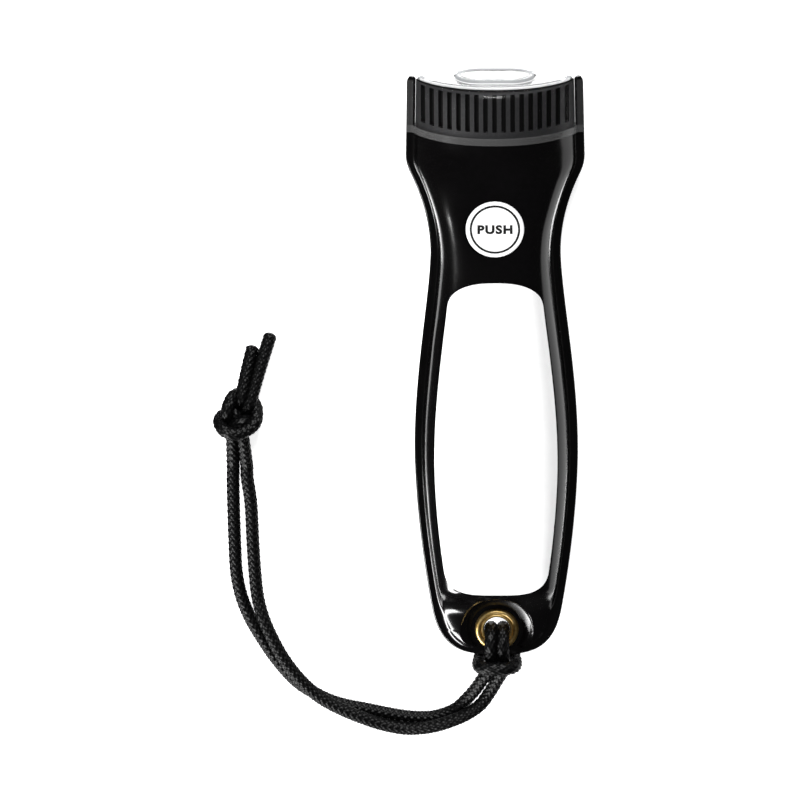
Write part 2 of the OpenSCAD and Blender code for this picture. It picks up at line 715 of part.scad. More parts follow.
module supply_strip() {
    color([0.8, 0.65, 0.3]) union() {
        block(-tray_half, -3, tray_s1 - strip_t, tray_s1, supply_z, cell_z + 4);
        block(-strip_out, -strip_in, tray_s1 - strip_t, button_s - 1.2, supply_z, supply_z + strip_t);
        block(-strip_out, strip_in, button_s - 4.2, button_s - 1.2, supply_z, supply_z + strip_t);
    }
}
module lamp_strip() {
    color([0.8, 0.65, 0.3]) union() {
        block(-strip_in, strip_in, button_s + 1.2, lamp_tip_s, supply_z, supply_z + strip_t);
        block(-strip_in, strip_in, lamp_tip_s - strip_t, lamp_tip_s, supply_z, beam_z + 3);
    }
}
sleeve_z = beam_z - base_r - 0.1;
module return_strip() {
    color([0.8, 0.65, 0.3]) union() {
        block(3, tray_half, tray_s1 - strip_t, tray_s1, return_z, cell_z + 4);
        block(strip_in, strip_out, tray_s1 - strip_t, sleeve_s, return_z, return_z + strip_t);
        block(-2, strip_out, sleeve_s - strip_t, sleeve_s, sleeve_z - 1, sleeve_z);
    }
}

// Clear windows over the bezel, lapped onto the black skins
film_stations = concat(
    [for (i = [5 : -1 : 1]) rim_s - rim_round + rim_round * sin(18 * i)],
    [for (i = [0 : 3]) mix(rim_s - rim_round, film_s, i / 3)]
);
film_ribs = [for (s = film_stations) straight_rib(s)];

module window(rear) {
    shell(film_ribs, seat_gap + film_t, skin_t + seat_gap + film_t, -skin_t, film_t,
        skin_t + seat_gap, rear, false);
}
module clear_front() {
    color([0.8, 0.85, 0.9, 0.3]) translate([0, 0, flange_z]) window(false);
}
module clear_back() {
    color([0.8, 0.85, 0.9, 0.3]) translate([0, 0, flange_z]) mirror([0, 0, 1]) window(true);
}

// White label panel on the handle, a sheet that follows the front skin
label_s1 = skin_len - label_back;
label_cap = 9;
function label_half(s) = half_w(s) - label_margin;
label_places = [for (i = [len(stations) - 1 : -1 : 0]) let (s = stations[i])
    if (s > label_s0 + label_cap + 1 && s < label_s1 - label_cap - 1) [1, s]];
label_rows = concat(
    [for (a = [84 : -12 : 0]) [pow(cos(a), 0.77), label_s0 + label_cap - label_cap * pow(sin(a), 0.77)]],
    label_places,
    [for (a = [0 : 12 : 84]) [pow(cos(a), 0.77), label_s1 - label_cap + label_cap * pow(sin(a), 0.77)]]
);
label_m = 7;
function label_line(row, up) = [for (j = [label_m : -1 : -label_m])
    let (x = row[0] * label_half(row[1]) * sin(90 * j / label_m))
    [x, at(row[1]), skin_z(x, row[1]) + up]];

// Thin sheet between rows of points above and the same rows below
module sheet(above, below) {
    m = len(above[0]);
    last = len(above) - 1;
    down = m * (last + 1);
    points = concat([for (l = above) each l], [for (l = below) each l]);
    tops = [for (i = [0 : last - 1]) for (k = [0 : m - 2])
        each two(i * m + k, i * m + k + 1, (i + 1) * m + k + 1, (i + 1) * m + k)];
    unders = [for (f = tops) turned(f, true) + [down, down, down]];
    ends = [for (k = [0 : m - 2]) each concat(
        two(k, down + k, down + k + 1, k + 1),
        two(last * m + k, last * m + k + 1, down + last * m + k + 1, down + last * m + k))];
    edges = [for (i = [0 : last - 1]) each concat(
        two(i * m, (i + 1) * m, down + (i + 1) * m, down + i * m),
        two(i * m + m - 1, down + i * m + m - 1, down + (i + 2) * m - 1, (i + 2) * m - 1))];
    polyhedron(points, concat(tops, unders, ends, edges));
}

module label_panel() {
    color([0.96, 0.96, 0.96]) sheet(
        [for (row = label_rows) label_line(row, label_gap + label_t)],
        [for (row = label_rows) label_line(row, label_gap)]);
}

// Rolled eyelet through both skins, with a ring behind
eyelet_r = eyelet_d / 2;
bore_r = eyelet_hole / 2;
roll_r = (eyelet_r - bore_r) / 2;
ring_t = 0.5;
eyelet_under = -skin_t - seat_gap - ring_t - 0.6;

module eyelet() {
    color([0.72, 0.55, 0.2]) translate([0, eyelet_y, flange_z]) rotate_extrude() {
        intersection() {
            translate([bore_r + roll_r, skin_t + seat_gap]) circle(r = roll_r);
            translate([bore_r, skin_t + seat_gap]) square([2 * roll_r, roll_r]);
        }
        translate([bore_r, eyelet_under]) square([0.45, skin_t + 0.2 - eyelet_under]);
        translate([bore_r, eyelet_under]) square([1.6, 0.6]);
    }
}
module eyelet_ring() {
    color([0.72, 0.55, 0.2]) translate([0, eyelet_y, flange_z - skin_t - seat_gap - ring_t]) difference() {
        cylinder(h = ring_t, r = eyelet_r);
        translate([0, 0, -1]) cylinder(h = 3, r = barrel_r + 0.05);
    }
}

// Lanyard: one cord hitched through the eyelet, its two strands knotted together at the end
cord_r = cord_d / 2;
lift_z = flange_z - 9.5;
under_strand = [
    [-81.9, -24, 5.5], [-82, -28, 4.4], [-82.2, -32, 2.8], [-82.4, -38, 2.1], [-82.4, -46, 2.1],
    [-82.2, -60, 2.1], [-81.8, -70, 2.1], [-80.3, -78, 2.1], [-77.7, -85, 2.1], [-74.2, -91.5, 2.1],
    [-70, -98.2, 2.1], [-63.4, -106.2, 2.1], [-57.4, -110.4, 2.1], [-52.4, -112.9, 2.1],
    [-47.5, -114.4, 2.1], [-43, -115.3, 2.1], [-38.4, -116.3, 2.1], [-33.7, -117.3, 2.1],
    [-29, -118.1, 2.1], [-24.4, -118.4, 2.1], [-19.8, -118.1, 2.1], [-13.5, -115.6, 2.4],
    [-9.2, -111, 3.8]
];
over_strand = [
    [-2.6, -108.6, 6.6], [-5.4, -112.6, 6.3], [-9.8, -115.8, 6.4], [-15, -118.2, 6.3],
    [-19.8, -119.8, 6.1], [-24.4, -120.7, 5.7], [-29, -121, 5.2], [-33.7, -120.2, 5.3],
    [-38.4, -118.8, 5.6], [-43, -116.9, 6], [-47.5, -114.9, 6.2], [-52.4, -112.4, 6.2],
    [-57, -109.3, 6.2], [-62, -104.4, 6.2], [-67.2, -97.4, 5.8], [-70.9, -90.4, 5.2],
    [-73.5, -84.2, 4.2], [-75.2, -78, 2.6], [-76, -70, 2.1], [-76.5, -60, 2.1], [-77, -46, 2.1],
    [-78, -38, 2.1], [-78, -32, 2.8], [-78, -28, 4.4], [-77.9, -24, 5.5]
];
// Half of the hitch, from the standing strand through the eyelet to the middle of the front wrap
hitch = [
    [2.1, -99.2, 10.6], [2, -96.4, 12.2], [2, -93.6, 13.2], [2, -90.6, 13.9], [2, -88, 13.2],
    [2, -86.2, 11.2], [2, -85.8, 8.6], [2.1, -87, 6.2], [2.8, -89.5, 5.2], [4, -93, 5.1],
    [5.4, -95.8, 6.3], [6, -96.9, 8.8], [6.1, -97.1, 11.6], [5.5, -97, 14.2], [3.4, -96.8, 16]
];
hitch_left = [for (p = hitch) flip_x(p)];
hitch_right = [for (i = [len(hitch) - 1 : -1 : 0]) hitch[i]];
hitch_top = [0, -96.7, 16.6];
loop = concat([[-6.6, -107, 6], [-4.5, -103, 8.4]], hitch_left, [hitch_top], hitch_right, [[0.2, -103, 8.6]]);
route = concat(under_strand, [for (p = loop) p + [0, 0, lift_z]], over_strand);
cord_shift = [0, (189 - total_len) / 2, 0];

function unit(v) = v / norm(v);
function heading(p, i) = unit(p[min(i + 1, len(p) - 1)] - p[max(i - 1, 0)]);
function carried(p, i, before) =
    i >= len(p) ? [] :
    let (t = heading(p, i), n = unit(before - (before * t) * t))
    concat([n], carried(p, i + 1, n));
module cord(p, r) {
    side = carried(p, 0, [0, 0, 1]);
    loft([for (i = [0 : len(p) - 1])
        let (t = heading(p, i), u = side[i], v = cross(t, u))
        [for (k = [0 : 7]) p[i] + r * (cos(45 * k) * u - sin(45 * k) * v)]]);
}
module lanyard_cord() {
    color([0.05, 0.05, 0.05]) translate(cord_shift) cord(route, cord_r);
}

// End knot: two wraps round the strands, and the two cut tails
knot_at = [-79.9, -16.5, 5.5];
module wrap_end(x, turn) {
    translate([x, 0, 0]) rotate([90, 0, 0]) rotate([0, 0, turn])
        rotate_extrude(angle = 180) translate([3.3, 0]) circle(r = cord_r, $fn = 24);
}
module wrap(y, turn) {
    translate([0, y, 0]) rotate([0, 0, turn]) {
        wrap_end(1.8, -90);
        wrap_end(-1.8, 90);
        for (z = [-3.3, 3.3])
            translate([-1.8, 0, z]) rotate([0, 90, 0]) cylinder(h = 3.6, r = cord_r, $fn = 24);
    }
}
module lanyard_knot() {
    color([0.05, 0.05, 0.05]) translate(cord_shift) union() {
        translate(knot_at) {
            wrap(3.1, 14);
            wrap(-2.6, -12);
            for (x = [-2, 2])
                translate([x, -8.5, 0]) rotate([-90, 0, 0]) cylinder(h = 16, r = cord_r, $fn = 24);
        }
        cord([[-78, -11, 5.5], [-77.7, -7, 4.6], [-77, -2, 2.6], [-75.8, 5, 2.2]], cord_r);
        cord([[-77, -12, 5.5], [-74.6, -8, 4.6], [-72.6, -2, 2.6], [-70.2, 9, 2.2]], cord_r);
    }
}

front_skin();
back_skin();
clear_front();
clear_back();
bezel();
lens();
reflector();
bulb_glass();
bulb_base();
bulb_sleeve();
case_front();
case_back();
battery_tray();
battery_left();
battery_right();
tail_spring();
head_spring();
bridge_plate();
supply_strip();
lamp_strip();
return_strip();
switch_frame();
button_plunger();
button_spring();
contact_bridge();
press_pad();
upper_magnet();
lower_magnet();
upper_keeper();
lower_keeper();
label_panel();
eyelet();
eyelet_ring();
lanyard_cord();
lanyard_knot();
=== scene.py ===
# %% [markdown]
# A flat, sealed flashlight lies on a pale table. Two black vinyl skins are welded round their edge,
# clear vinyl covers the ribbed head, a white pad hides the switch, and a braided lanyard is hitched
# through a brass eyelet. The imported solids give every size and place. Each cell below dresses one
# piece over its solid, so the picture can be checked against the solids at any time.

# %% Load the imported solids
import json
import math

import bmesh
import bpy
import numpy as np
from mathutils import Matrix, Vector


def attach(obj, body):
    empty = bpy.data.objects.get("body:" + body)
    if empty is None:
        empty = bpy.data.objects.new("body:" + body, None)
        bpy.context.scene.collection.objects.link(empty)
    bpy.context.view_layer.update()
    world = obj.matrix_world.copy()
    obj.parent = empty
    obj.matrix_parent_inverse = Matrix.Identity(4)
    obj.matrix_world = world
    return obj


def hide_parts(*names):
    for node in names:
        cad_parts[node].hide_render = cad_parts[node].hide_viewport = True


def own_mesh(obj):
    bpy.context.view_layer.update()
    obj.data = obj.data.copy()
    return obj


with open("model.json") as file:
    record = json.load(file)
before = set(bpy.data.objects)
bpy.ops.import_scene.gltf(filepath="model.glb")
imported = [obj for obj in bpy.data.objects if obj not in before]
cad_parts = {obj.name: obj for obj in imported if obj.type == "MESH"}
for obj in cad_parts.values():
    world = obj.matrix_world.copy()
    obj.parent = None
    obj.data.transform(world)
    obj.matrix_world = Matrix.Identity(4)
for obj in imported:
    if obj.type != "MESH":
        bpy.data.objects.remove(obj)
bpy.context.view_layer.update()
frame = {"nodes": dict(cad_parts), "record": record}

# %% [markdown]
# Blender works in metres and the light is measured in millimetres, so one constant turns one into the
# other. Colours are written as the sRGB hex codes that a paint program shows, and one function turns
# them into the linear numbers that a renderer needs. One more function adds a node with its settings.

# %% Units, colours and node helper
MM = 0.001


def linear(code):
    parts = [int(code[i:i + 2], 16) / 255 for i in (1, 3, 5)]
    return [c / 12.92 if c <= 0.04045 else ((c + 0.055) / 1.055) ** 2.4 for c in parts] + [1.0]


def add_node(tree, kind, links=(), **settings):
    node = tree.nodes.new(kind)
    for name, value in settings.items():
        if hasattr(node, name):
            setattr(node, name, value)
        else:
            node.inputs[name.replace("_", " ")].default_value = value
    for socket, name in links:
        tree.links.new(socket, node.inputs[name])
    return node


def new_material(name, **settings):
    material = bpy.data.materials.new(name)
    material.use_nodes = True
    tree = material.node_tree
    shader = tree.nodes["Principled BSDF"]
    for key, value in settings.items():
        shader.inputs[key.replace("_", " ")].default_value = value
    return material, tree, shader


# %% [markdown]
# The camera comes first, because everything else is judged through it. The photograph looks straight
# down on the handle but a little from the lens end, so part of the lens face shows. A long lens from
# two metres keeps both ends at one scale: about 0.31 mm of the light to each picture point.

# %% Camera
PICTURE = 800
SCALE = 0.31 * MM
DISTANCE = 2.0
LOOK_DOWN = math.radians(18)
SIDE_STEP = math.radians(1.4)
ROLL = math.radians(0.49)
aim = Vector((-29.8, -10.5, 9.5)) * MM
toward = Vector((math.sin(SIDE_STEP), math.sin(LOOK_DOWN), math.cos(LOOK_DOWN))).normalized()

camera_data = bpy.data.cameras.new("photo_camera")
camera_data.sensor_width = 36
camera_data.lens = 36 * DISTANCE / (SCALE * PICTURE)
camera = bpy.data.objects.new("photo_camera", camera_data)
bpy.context.scene.collection.objects.link(camera)
up = Vector((0, 1, 0)) - toward * toward.y
up.normalize()
turn = Matrix((up.cross(toward), up, toward)).transposed().to_4x4()
camera.matrix_world = Matrix.Translation(aim + toward * DISTANCE) @ turn @ Matrix.Rotation(-ROLL, 4, "Z")
bpy.context.scene.camera = camera
print("camera lens %.0f mm" % camera_data.lens)

# %% [markdown]
# The lanyard is one braided nylon cord. Its loop passes through the eyelet and over its own two
# strands. One strand lies on the table, the other rests on it and crosses over it, and both end in one
# overhand knot. The route is the one that the solids follow: points listed along each strand, and one
# half of the hitch, which is mirrored. A smooth curve runs through the points.

# %% Lanyard route
# Thickness of the cord, and the height of its middle where it lies on the table.
CORD = 3.9
TABLE = 2.1

strand_in = [
    (-82.4, -38, TABLE), (-82.4, -46, TABLE), (-82.2, -60, TABLE), (-81.8, -70, TABLE),
    (-80.3, -78, TABLE), (-77.7, -85, TABLE), (-74.2, -91.5, TABLE), (-70, -98.2, TABLE),
    (-63.4, -106.2, TABLE), (-57.4, -110.4, TABLE), (-52.4, -112.9, TABLE), (-47.5, -114.4, TABLE),
    (-43, -115.3, TABLE), (-38.4, -116.3, TABLE), (-33.7, -117.3, TABLE), (-29, -118.1, TABLE),
    (-24.4, -118.4, TABLE), (-19.8, -118.1, TABLE), (-13.5, -115.6, 2.4), (-9.2, -111, 3.8),
    (-6.6, -107, 6), (-4.5, -103, 8.4),
]
strand_out = [
    (0.2, -103, 8.6), (-2.6, -108.6, 6.6), (-5.4, -112.6, 6.3), (-9.8, -115.8, 6.4),
    (-15, -118.2, 6.3), (-19.8, -119.8, 6.1), (-24.4, -120.7, 5.7), (-29, -121, 5.2),
    (-33.7, -120.2, 5.3), (-38.4, -118.8, 5.6), (-43, -116.9, 6), (-47.5, -114.9, 6.2),
    (-52.4, -112.4, 6.2), (-57, -109.3, 6.2), (-62, -104.4, 6.2), (-67.2, -97.4, 5.8),
    (-70.9, -90.4, 5.2), (-73.5, -84.2, 4.2), (-75.2, -78, 2.6), (-76, -70, TABLE),
    (-76.5, -60, TABLE), (-77, -46, TABLE), (-78, -38, TABLE),
]
hitch = [
    (1.9, -99.2, 10.6), (1.85, -96.4, 12.2), (1.85, -93.6, 13.2), (1.85, -90.6, 13.9), (1.85, -88, 13.2),
    (1.85, -86.2, 11.2), (1.85, -85.8, 8.6), (2, -87, 6.2), (2.8, -89.5, 5.2), (4, -93, 5.1),
    (5.2, -95.8, 6.3), (5.7, -96.9, 8.8), (5.8, -97.1, 11.6), (5.2, -97, 14.2), (3.2, -96.8, 16),
]
hitch_top = (0, -96.7, 16.6)


def smooth_line(points, step):
    """Points every step millimetres along a smooth curve through the given points."""
    p = np.array(points, float)
    p = np.vstack([2 * p[0] - p[1], p, 2 * p[-1] - p[-2]])
    gaps = np.linalg.norm(np.diff(p, axis=0), axis=1) ** 0.5
    knots = np.concatenate([[0], np.cumsum(gaps)])
    dense = []
    for i in range(1, len(p) - 2):
        t0, t1, t2, t3 = knots[i - 1:i + 3]
        t = np.linspace(t1, t2, 24, endpoint=False)[:, None]
        a1 = (t1 - t) / (t1 - t0) * p[i - 1] + (t - t0) / (t1 - t0) * p[i]
        a2 = (t2 - t) / (t2 - t1) * p[i] + (t - t1) / (t2 - t1) * p[i + 1]
        a3 = (t3 - t) / (t3 - t2) * p[i + 1] + (t - t2) / (t3 - t2) * p[i + 2]
        b1 = (t2 - t) / (t2 - t0) * a1 + (t - t0) / (t2 - t0) * a2
        b2 = (t3 - t) / (t3 - t1) * a2 + (t - t1) / (t3 - t1) * a3
        dense.append((t2 - t) / (t2 - t1) * b1 + (t - t1) / (t2 - t1) * b2)
    dense = np.vstack(dense + [p[-2:-1]])
    return even_line(dense, step)


def even_line(dense, step):
    """The same line with its points evenly spaced."""
    run = np.concatenate([[0], np.cumsum(np.linalg.norm(np.diff(dense, axis=0), axis=1))])
    count = max(int(round(run[-1] / step)), 2)
    at = np.linspace(0, run[-1], count + 1)
    return np.stack([np.interp(at, run, dense[:, k]) for k in range(3)], axis=1)


# %% [markdown]
# A knot is hard to draw by hand and easy to tie. Both strands start as one loose overhand path, drawn
# with a dozen points, and a small rope simulation pulls the slack out: each link keeps its length,
# strands push apart when they touch, and nothing sinks into the table. The result is the same each run.

# %% Tie the end knot
KNOT = np.array([-79.9, -17.0, 7.0])
LINK = 1.0
SHORTEN = 0.36
SQUEEZE = 0.76
PULLS = 320
HELD = 5
STRAND_X = (-82.3, -78.0)
TAIL_ENDS = ((-75.4, 5.0, TABLE), (-69.8, 9.0, TABLE))

loose_knot = [
    (0, -21, -4.9), (0, -14, -4.5), (-1, -8, -1.5), (-6, 0, -0.7), (-4, 8.8, -3.4), (3.4, 8.8, -4.3),
    (10.1, 0.7, -0.7), (5.4, -6.1, 5.1), (-4, -4.7, 6.2), (-11.5, -2, 0.7), (-6.1, 0.7, -4.9), (0, 3.4, -1.4),
    (2, 7.5, 2.0), (3.8, 14, -1), (5.4, 20, -4.0), (6.9, 30, -4.9),
]


def push_apart(points, free):
    """How far each point is pushed by cords that press on it."""
    apart = points[:, None, :] - points[None, :, :]
    gap = np.linalg.norm(apart, axis=2) + 1e-9
    press = np.where(free, np.clip(CORD * SQUEEZE - gap, 0, None), 0)
    return (0.3 * (apart / gap[:, :, None] * press[:, :, None]).sum(axis=1)).clip(-0.4, 0.4)


def keep_links(rope, link, tail):
    """Bring each link of a rope back to its length, with the tail held."""
    rope[1:-1] += 0.10 * (rope[:-2] + rope[2:] - 2 * rope[1:-1])
    for _ in range(8):
        step = np.diff(rope, axis=0)
        fix = 0.25 * step * (1 - link / np.linalg.norm(step, axis=1, keepdims=True))
        rope[:-1] += fix
        rope[1:] -= fix
        rope[-1] = tail
    return rope


def tie_knot():
    """Both strands of the tied knot, each from the lanyard to its tail."""
    middle = smooth_line(loose_knot, LINK)
    heading = np.gradient(middle, axis=0)
    aside = np.stack([heading[:, 1], -heading[:, 0], 0.35 * heading[:, 2]], axis=1)
    aside /= np.linalg.norm(aside, axis=1)[:, None]
    count = len(middle)
    points = np.vstack([middle - aside * CORD / 2, middle + aside * CORD / 2]) + KNOT
    strand = np.repeat([0, 1], count)
    order = np.tile(np.arange(count), 2)
    free = (strand[:, None] != strand[None, :]) | (abs(order[:, None] - order[None, :]) > HELD)
    held = order < HELD
    start = points.copy()
    start[held, 2] = TABLE
    start[held & (strand == 0), 0] = STRAND_X[0]
    start[held & (strand == 1), 0] = STRAND_X[1]
    for pull in range(PULLS):
        link = LINK * (1 - (1 - SHORTEN) * min(pull / (0.7 * PULLS), 1))
        for _ in range(3):
            points += push_apart(points, free)
        points[:count] = keep_links(points[:count], link, TAIL_ENDS[0])
        points[count:] = keep_links(points[count:], link, TAIL_ENDS[1])
        points[:, 2] = np.maximum(points[:, 2], TABLE)
        points[held] = start[held]
    return points[:count], points[count:]


knot_in, knot_out = tie_knot()
both = np.vstack([knot_out, knot_in])
print("knot tied in", both.min(axis=0).round(1), both.max(axis=0).round(1))

# %% [markdown]
# The braid is sixteen yarns, eight wound each way, each passing over one and under the next. It is
# shaped rather than painted: a fine tube is lifted where a yarn lies on top. Counting along two
# slanted directions at once says which yarn is on top at any point, as on graph paper.

# %% Braided tube
YARNS = 8
BRAID_PITCH = 2.1
BRAID_LIFT = 0.42
RING = 40
RING_STEP = 0.28


def braid_lift(along, around):
    """How far a yarn lifts the surface at a place, from 0 to 1."""
    a = YARNS * around + along / BRAID_PITCH
    b = YARNS * around - along / BRAID_PITCH
    top = (np.floor(a) + np.floor(b)) % 2
    fa = a - np.floor(a) - 0.5
    fb = b - np.floor(b) - 0.5
    across = np.where(top > 0.5, fa, fb)
    length = np.where(top > 0.5, fb, fa)
    crown = np.clip(1 - (2 * across) ** 2, 0, None) ** 0.6
    return crown * np.clip(np.cos(math.pi * length), 0, None) ** 0.7


def ring_points(line):
    """Points of every ring of a braided cord along a line, its two ends rounded."""
    heading = np.gradient(line, axis=0)
    heading /= np.linalg.norm(heading, axis=1)[:, None]
    side = np.zeros_like(line)
    up = np.array([0.0, 0.0, 1.0])
    for i in range(len(line)):
        up = up - heading[i] * up.dot(heading[i])
        up = up / np.linalg.norm(up)
        side[i] = up
    other = np.cross(heading, side)
    run = np.concatenate([[0], np.cumsum(np.linalg.norm(np.diff(line, axis=0), axis=1))])
    end = np.clip(np.minimum(run, run[-1] - run) / 1.2, 0, 1)
    taper = np.sqrt(np.clip(1 - (1 - end) ** 2, 0.1, 1))
    around = np.arange(RING + 1) / RING
    lift = braid_lift(run[:, None], around[None, :])
    radius = (CORD / 2 - 0.55 * BRAID_LIFT + BRAID_LIFT * lift) * taper[:, None]
    angle = 2 * math.pi * around
    across = np.cos(angle)[None, :, None] * side[:, None, :]
    turned = across + np.sin(angle)[None, :, None] * other[:, None, :]
    return line[:, None, :] + radius[:, :, None] * turned


def grid_of(bm, points):
    """A grid laid over rows of points: rows along the first index, columns along the second."""
    rows, columns = points.shape[:2]
    made = bmesh.ops.create_grid(bm, x_segments=rows - 1, y_segments=columns - 1, size=0.5)["verts"]
    for v in made:
        i = int(round((v.co.x + 0.5) * (rows - 1)))
        k = int(round((v.co.y + 0.5) * (columns - 1)))
        v.co = Vector(points[i, k]) * MM
    return made


def cord_piece(bm, rings):
    """One length of cord, with its seam joined."""
    made = grid_of(bm, rings)
    bmesh.ops.remove_doubles(bm, verts=made, dist=1e-7)


def close_ends(bm):
    """Cap the open ends of every length of cord."""
    edges = [e for e in bm.edges if e.is_boundary]
    bmesh.ops.holes_fill(bm, edges=edges, sides=RING + 2)
    bmesh.ops.recalc_face_normals(bm, faces=bm.faces[:])


SHARP = math.radians(50)


def finish_piece(name, bm, material, body="light"):
    """Turn a finished mesh into an object that rides on one body. Edges sharper than SHARP stay crisp."""
    mesh = bpy.data.meshes.new(name)
    for face in bm.faces:
        face.smooth = True
    for edge in bm.edges:
        edge.smooth = len(edge.link_faces) == 2 and edge.calc_face_angle() < SHARP
    bm.to_mesh(mesh)
    bm.free()
    for m in material if isinstance(material, (list, tuple)) else [material]:
        mesh.materials.append(m)
    piece = bpy.data.objects.new(name, mesh)
    bpy.context.scene.collection.objects.link(piece)
    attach(piece, body)
    print(name, len(mesh.polygons), "faces")
    return piece


# %% [markdown]
# Nylon yarn is black all through, but each round, slightly shiny yarn catches a small highlight, which
# is why a black braid shows as rows of grey dashes. A fine noise stands for single filaments.

# %% Cord material
braid_nylon, tree, shader = new_material(
    "braided_black_nylon", Base_Color=linear("#050506"), Roughness=0.4, Specular_IOR_Level=0.17)
place = add_node(tree, "ShaderNodeTexCoord")
filament = add_node(tree, "ShaderNodeTexNoise", [(place.outputs["Object"], "Vector")],
                    Scale=1 / (0.35 * MM), Detail=3.0, Roughness=0.6)
tone = add_node(tree, "ShaderNodeValToRGB", [(filament.outputs["Fac"], "Fac")])
tone.color_ramp.elements[0].position = 0.3
tone.color_ramp.elements[0].color = linear("#020202")
tone.color_ramp.elements[1].position = 0.75
tone.color_ramp.elements[1].color = linear("#080809")
tree.links.new(tone.outputs["Color"], shader.inputs["Base Color"])
bump = add_node(tree, "ShaderNodeBump", [(filament.outputs["Fac"], "Height")],
                Strength=0.35, Distance=0.08 * MM)
tree.links.new(bump.outputs["Normal"], shader.inputs["Normal"])
print("material", braid_nylon.name)

# %% [markdown]
# The whole cord is now one line from tail to tail. It is cut into three pieces where a cut can't be
# seen: at the top of the hitch and inside the knot. The braid is counted along the whole line, so it
# runs on unbroken from piece to piece.

# %% Lanyard pieces
INSIDE_KNOT = 16


def run_of(line):
    return float(np.linalg.norm(np.diff(line, axis=0), axis=1).sum())


def nearest(line, point):
    return int(np.argmin(np.linalg.norm(line - np.array(point), axis=1)))


half_hitch = [(-x, y, z) for x, y, z in hitch]
route = [tuple(p) for p in knot_in[:1:-1]] + strand_in + half_hitch + [hitch_top]
route += hitch[::-1] + strand_out + [tuple(p) for p in knot_out[2:]]
whole_line = smooth_line(route, RING_STEP)
whole_rings = ring_points(whole_line)
cut_in = nearest(whole_line, knot_in[INSIDE_KNOT])
cut_top = nearest(whole_line, hitch_top)
cut_out = nearest(whole_line, knot_out[INSIDE_KNOT])
print("cord %.0f mm, cut at rings" % run_of(whole_line), cut_in, cut_top, cut_out)

cuts = (("lanyard_strand_inner", cut_in, cut_top), ("lanyard_strand_outer", cut_top, cut_out))
for name, first, last in cuts:
    bm = bmesh.new()
    cord_piece(bm, whole_rings[first:last + 1])
    close_ends(bm)
    finish_piece(name, bm, braid_nylon)

bm = bmesh.new()
cord_piece(bm, whole_rings[:cut_in + 1])
cord_piece(bm, whole_rings[cut_out:])
close_ends(bm)
knot = finish_piece("lanyard_knot_tied", bm, braid_nylon)
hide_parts("lanyard_knot")
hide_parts("lanyard_cord")

# %% [markdown]
# The light's outline and its crown are described by a few rules along its length: how wide it is, how
# tall, and how square its section is. The solids were made from the same rules, so a fine mesh made
# from them lies on the solids and adds the softness of real vinyl. Only the dish about the eyelet and
# the lip of the flange are shaped more finely here. Lengths are counted from the tail, in millimetres.

# %% Shape of the body
LENGTH = 189.0
HEAD_W, WAIST_W, GRIP_W, TAIL_W = 54.9, 40.1, 50.8, 34.8
GRIP_S, WAIST_S, NECK_S = 67.7, 132.0, 160.0
HEAD_H, GRIP_H, TAIL_H, BACK_H, HEAD_RISE = 16.8, 15.5, 3.5, 9.0, 0.8
SKIN_S, RIM_S, BEZEL_S, FILM_S = 188.0, 187.0, 172.2, 170.5
END_S, END_N = 19.0, 3.3
EYELET_S, BUTTON_S = 8.8, 144.0
DISH_IN, DISH_FOOT, DISH_TURN, REAR_RUN = 8.0, 3.2, 0.9, 7.5
DISH_SLOPE, DISH_WALL = 0.55, 5.0
LOW_S, LOW_RUN = 13.5, 11.0
HEAD_START, HEAD_RUN = 14, 22
BACK_TAIL_H, BACK_TAIL_S = 4.5, 25
TAIL_P, BODY_P, HEAD_P = 3.2, 5.0, 2.2
TAIL_Q, BODY_Q, HEAD_Q = 1.4, 2.2, 1.3
FLANGE_W, FLANGE_Z, SKIN_T, FILM_T = 2.8, 9.5, 0.8, 0.58
RIM_ROUND = 2.5


def ease(t):
    t = np.clip(t, 0, 1)
    return t * t * (3 - 2 * t)


def side_w(s):
    """Half the width, before the tail is rounded."""
    tail = (GRIP_W - (GRIP_W - TAIL_W) * (np.clip(GRIP_S - s, 0, GRIP_S) / GRIP_S) ** 1.75) / 2
    to_grip = np.clip((WAIST_S - s) / (WAIST_S - GRIP_S), 0, 1) ** 0.8
    grip = (WAIST_W + (GRIP_W - WAIST_W) * ease(to_grip)) / 2
    neck = (WAIST_W + (HEAD_W - WAIST_W) * (np.clip(s - WAIST_S, 0, None) / (NECK_S - WAIST_S)) ** 2) / 2
    head = HEAD_W / 2 - 0.02 * (s - NECK_S)
    front = np.minimum(neck, head) - np.clip(1.6 - abs(neck - head), 0, None) ** 2 / 6.4
    return np.where(s < GRIP_S, tail, np.where(s < WAIST_S, grip, front))


def half_w(s):
    """Half the width of the outline."""
    t = np.clip((END_S - s) / END_S, 0, 1)
    return side_w(s) * (1 - t ** END_N) ** (1 / END_N)


def lean(s):
    """How much wider a slanting flange measures straight across."""
    return np.sqrt(1 + (half_w(s + 0.5) - half_w(s - 0.5)) ** 2)


def inner_half(s):
    """Half the width inside the flange."""
    return half_w(s) - FLANGE_W * lean(s)


def head_mix(s):
    return ease((s - NECK_S + HEAD_START) / HEAD_RUN)


def tail_mix(s):
    return ease((s - LOW_S) / LOW_RUN)


def powers(s):
    """How square the section is, from the tail through the body to the head."""
    p = TAIL_P + (BODY_P - TAIL_P) * tail_mix(s)
    q = TAIL_Q + (BODY_Q - TAIL_Q) * tail_mix(s)
    return p + (HEAD_P - p) * head_mix(s), q + (HEAD_Q - q) * head_mix(s)


def rim_fall(s, r):
    """How far the skin drops where it rounds over at the lens end."""
    t = np.clip((s - RIM_S + r) / r, 0, 1)
    return r * (1 - np.sqrt(1 - t * t))


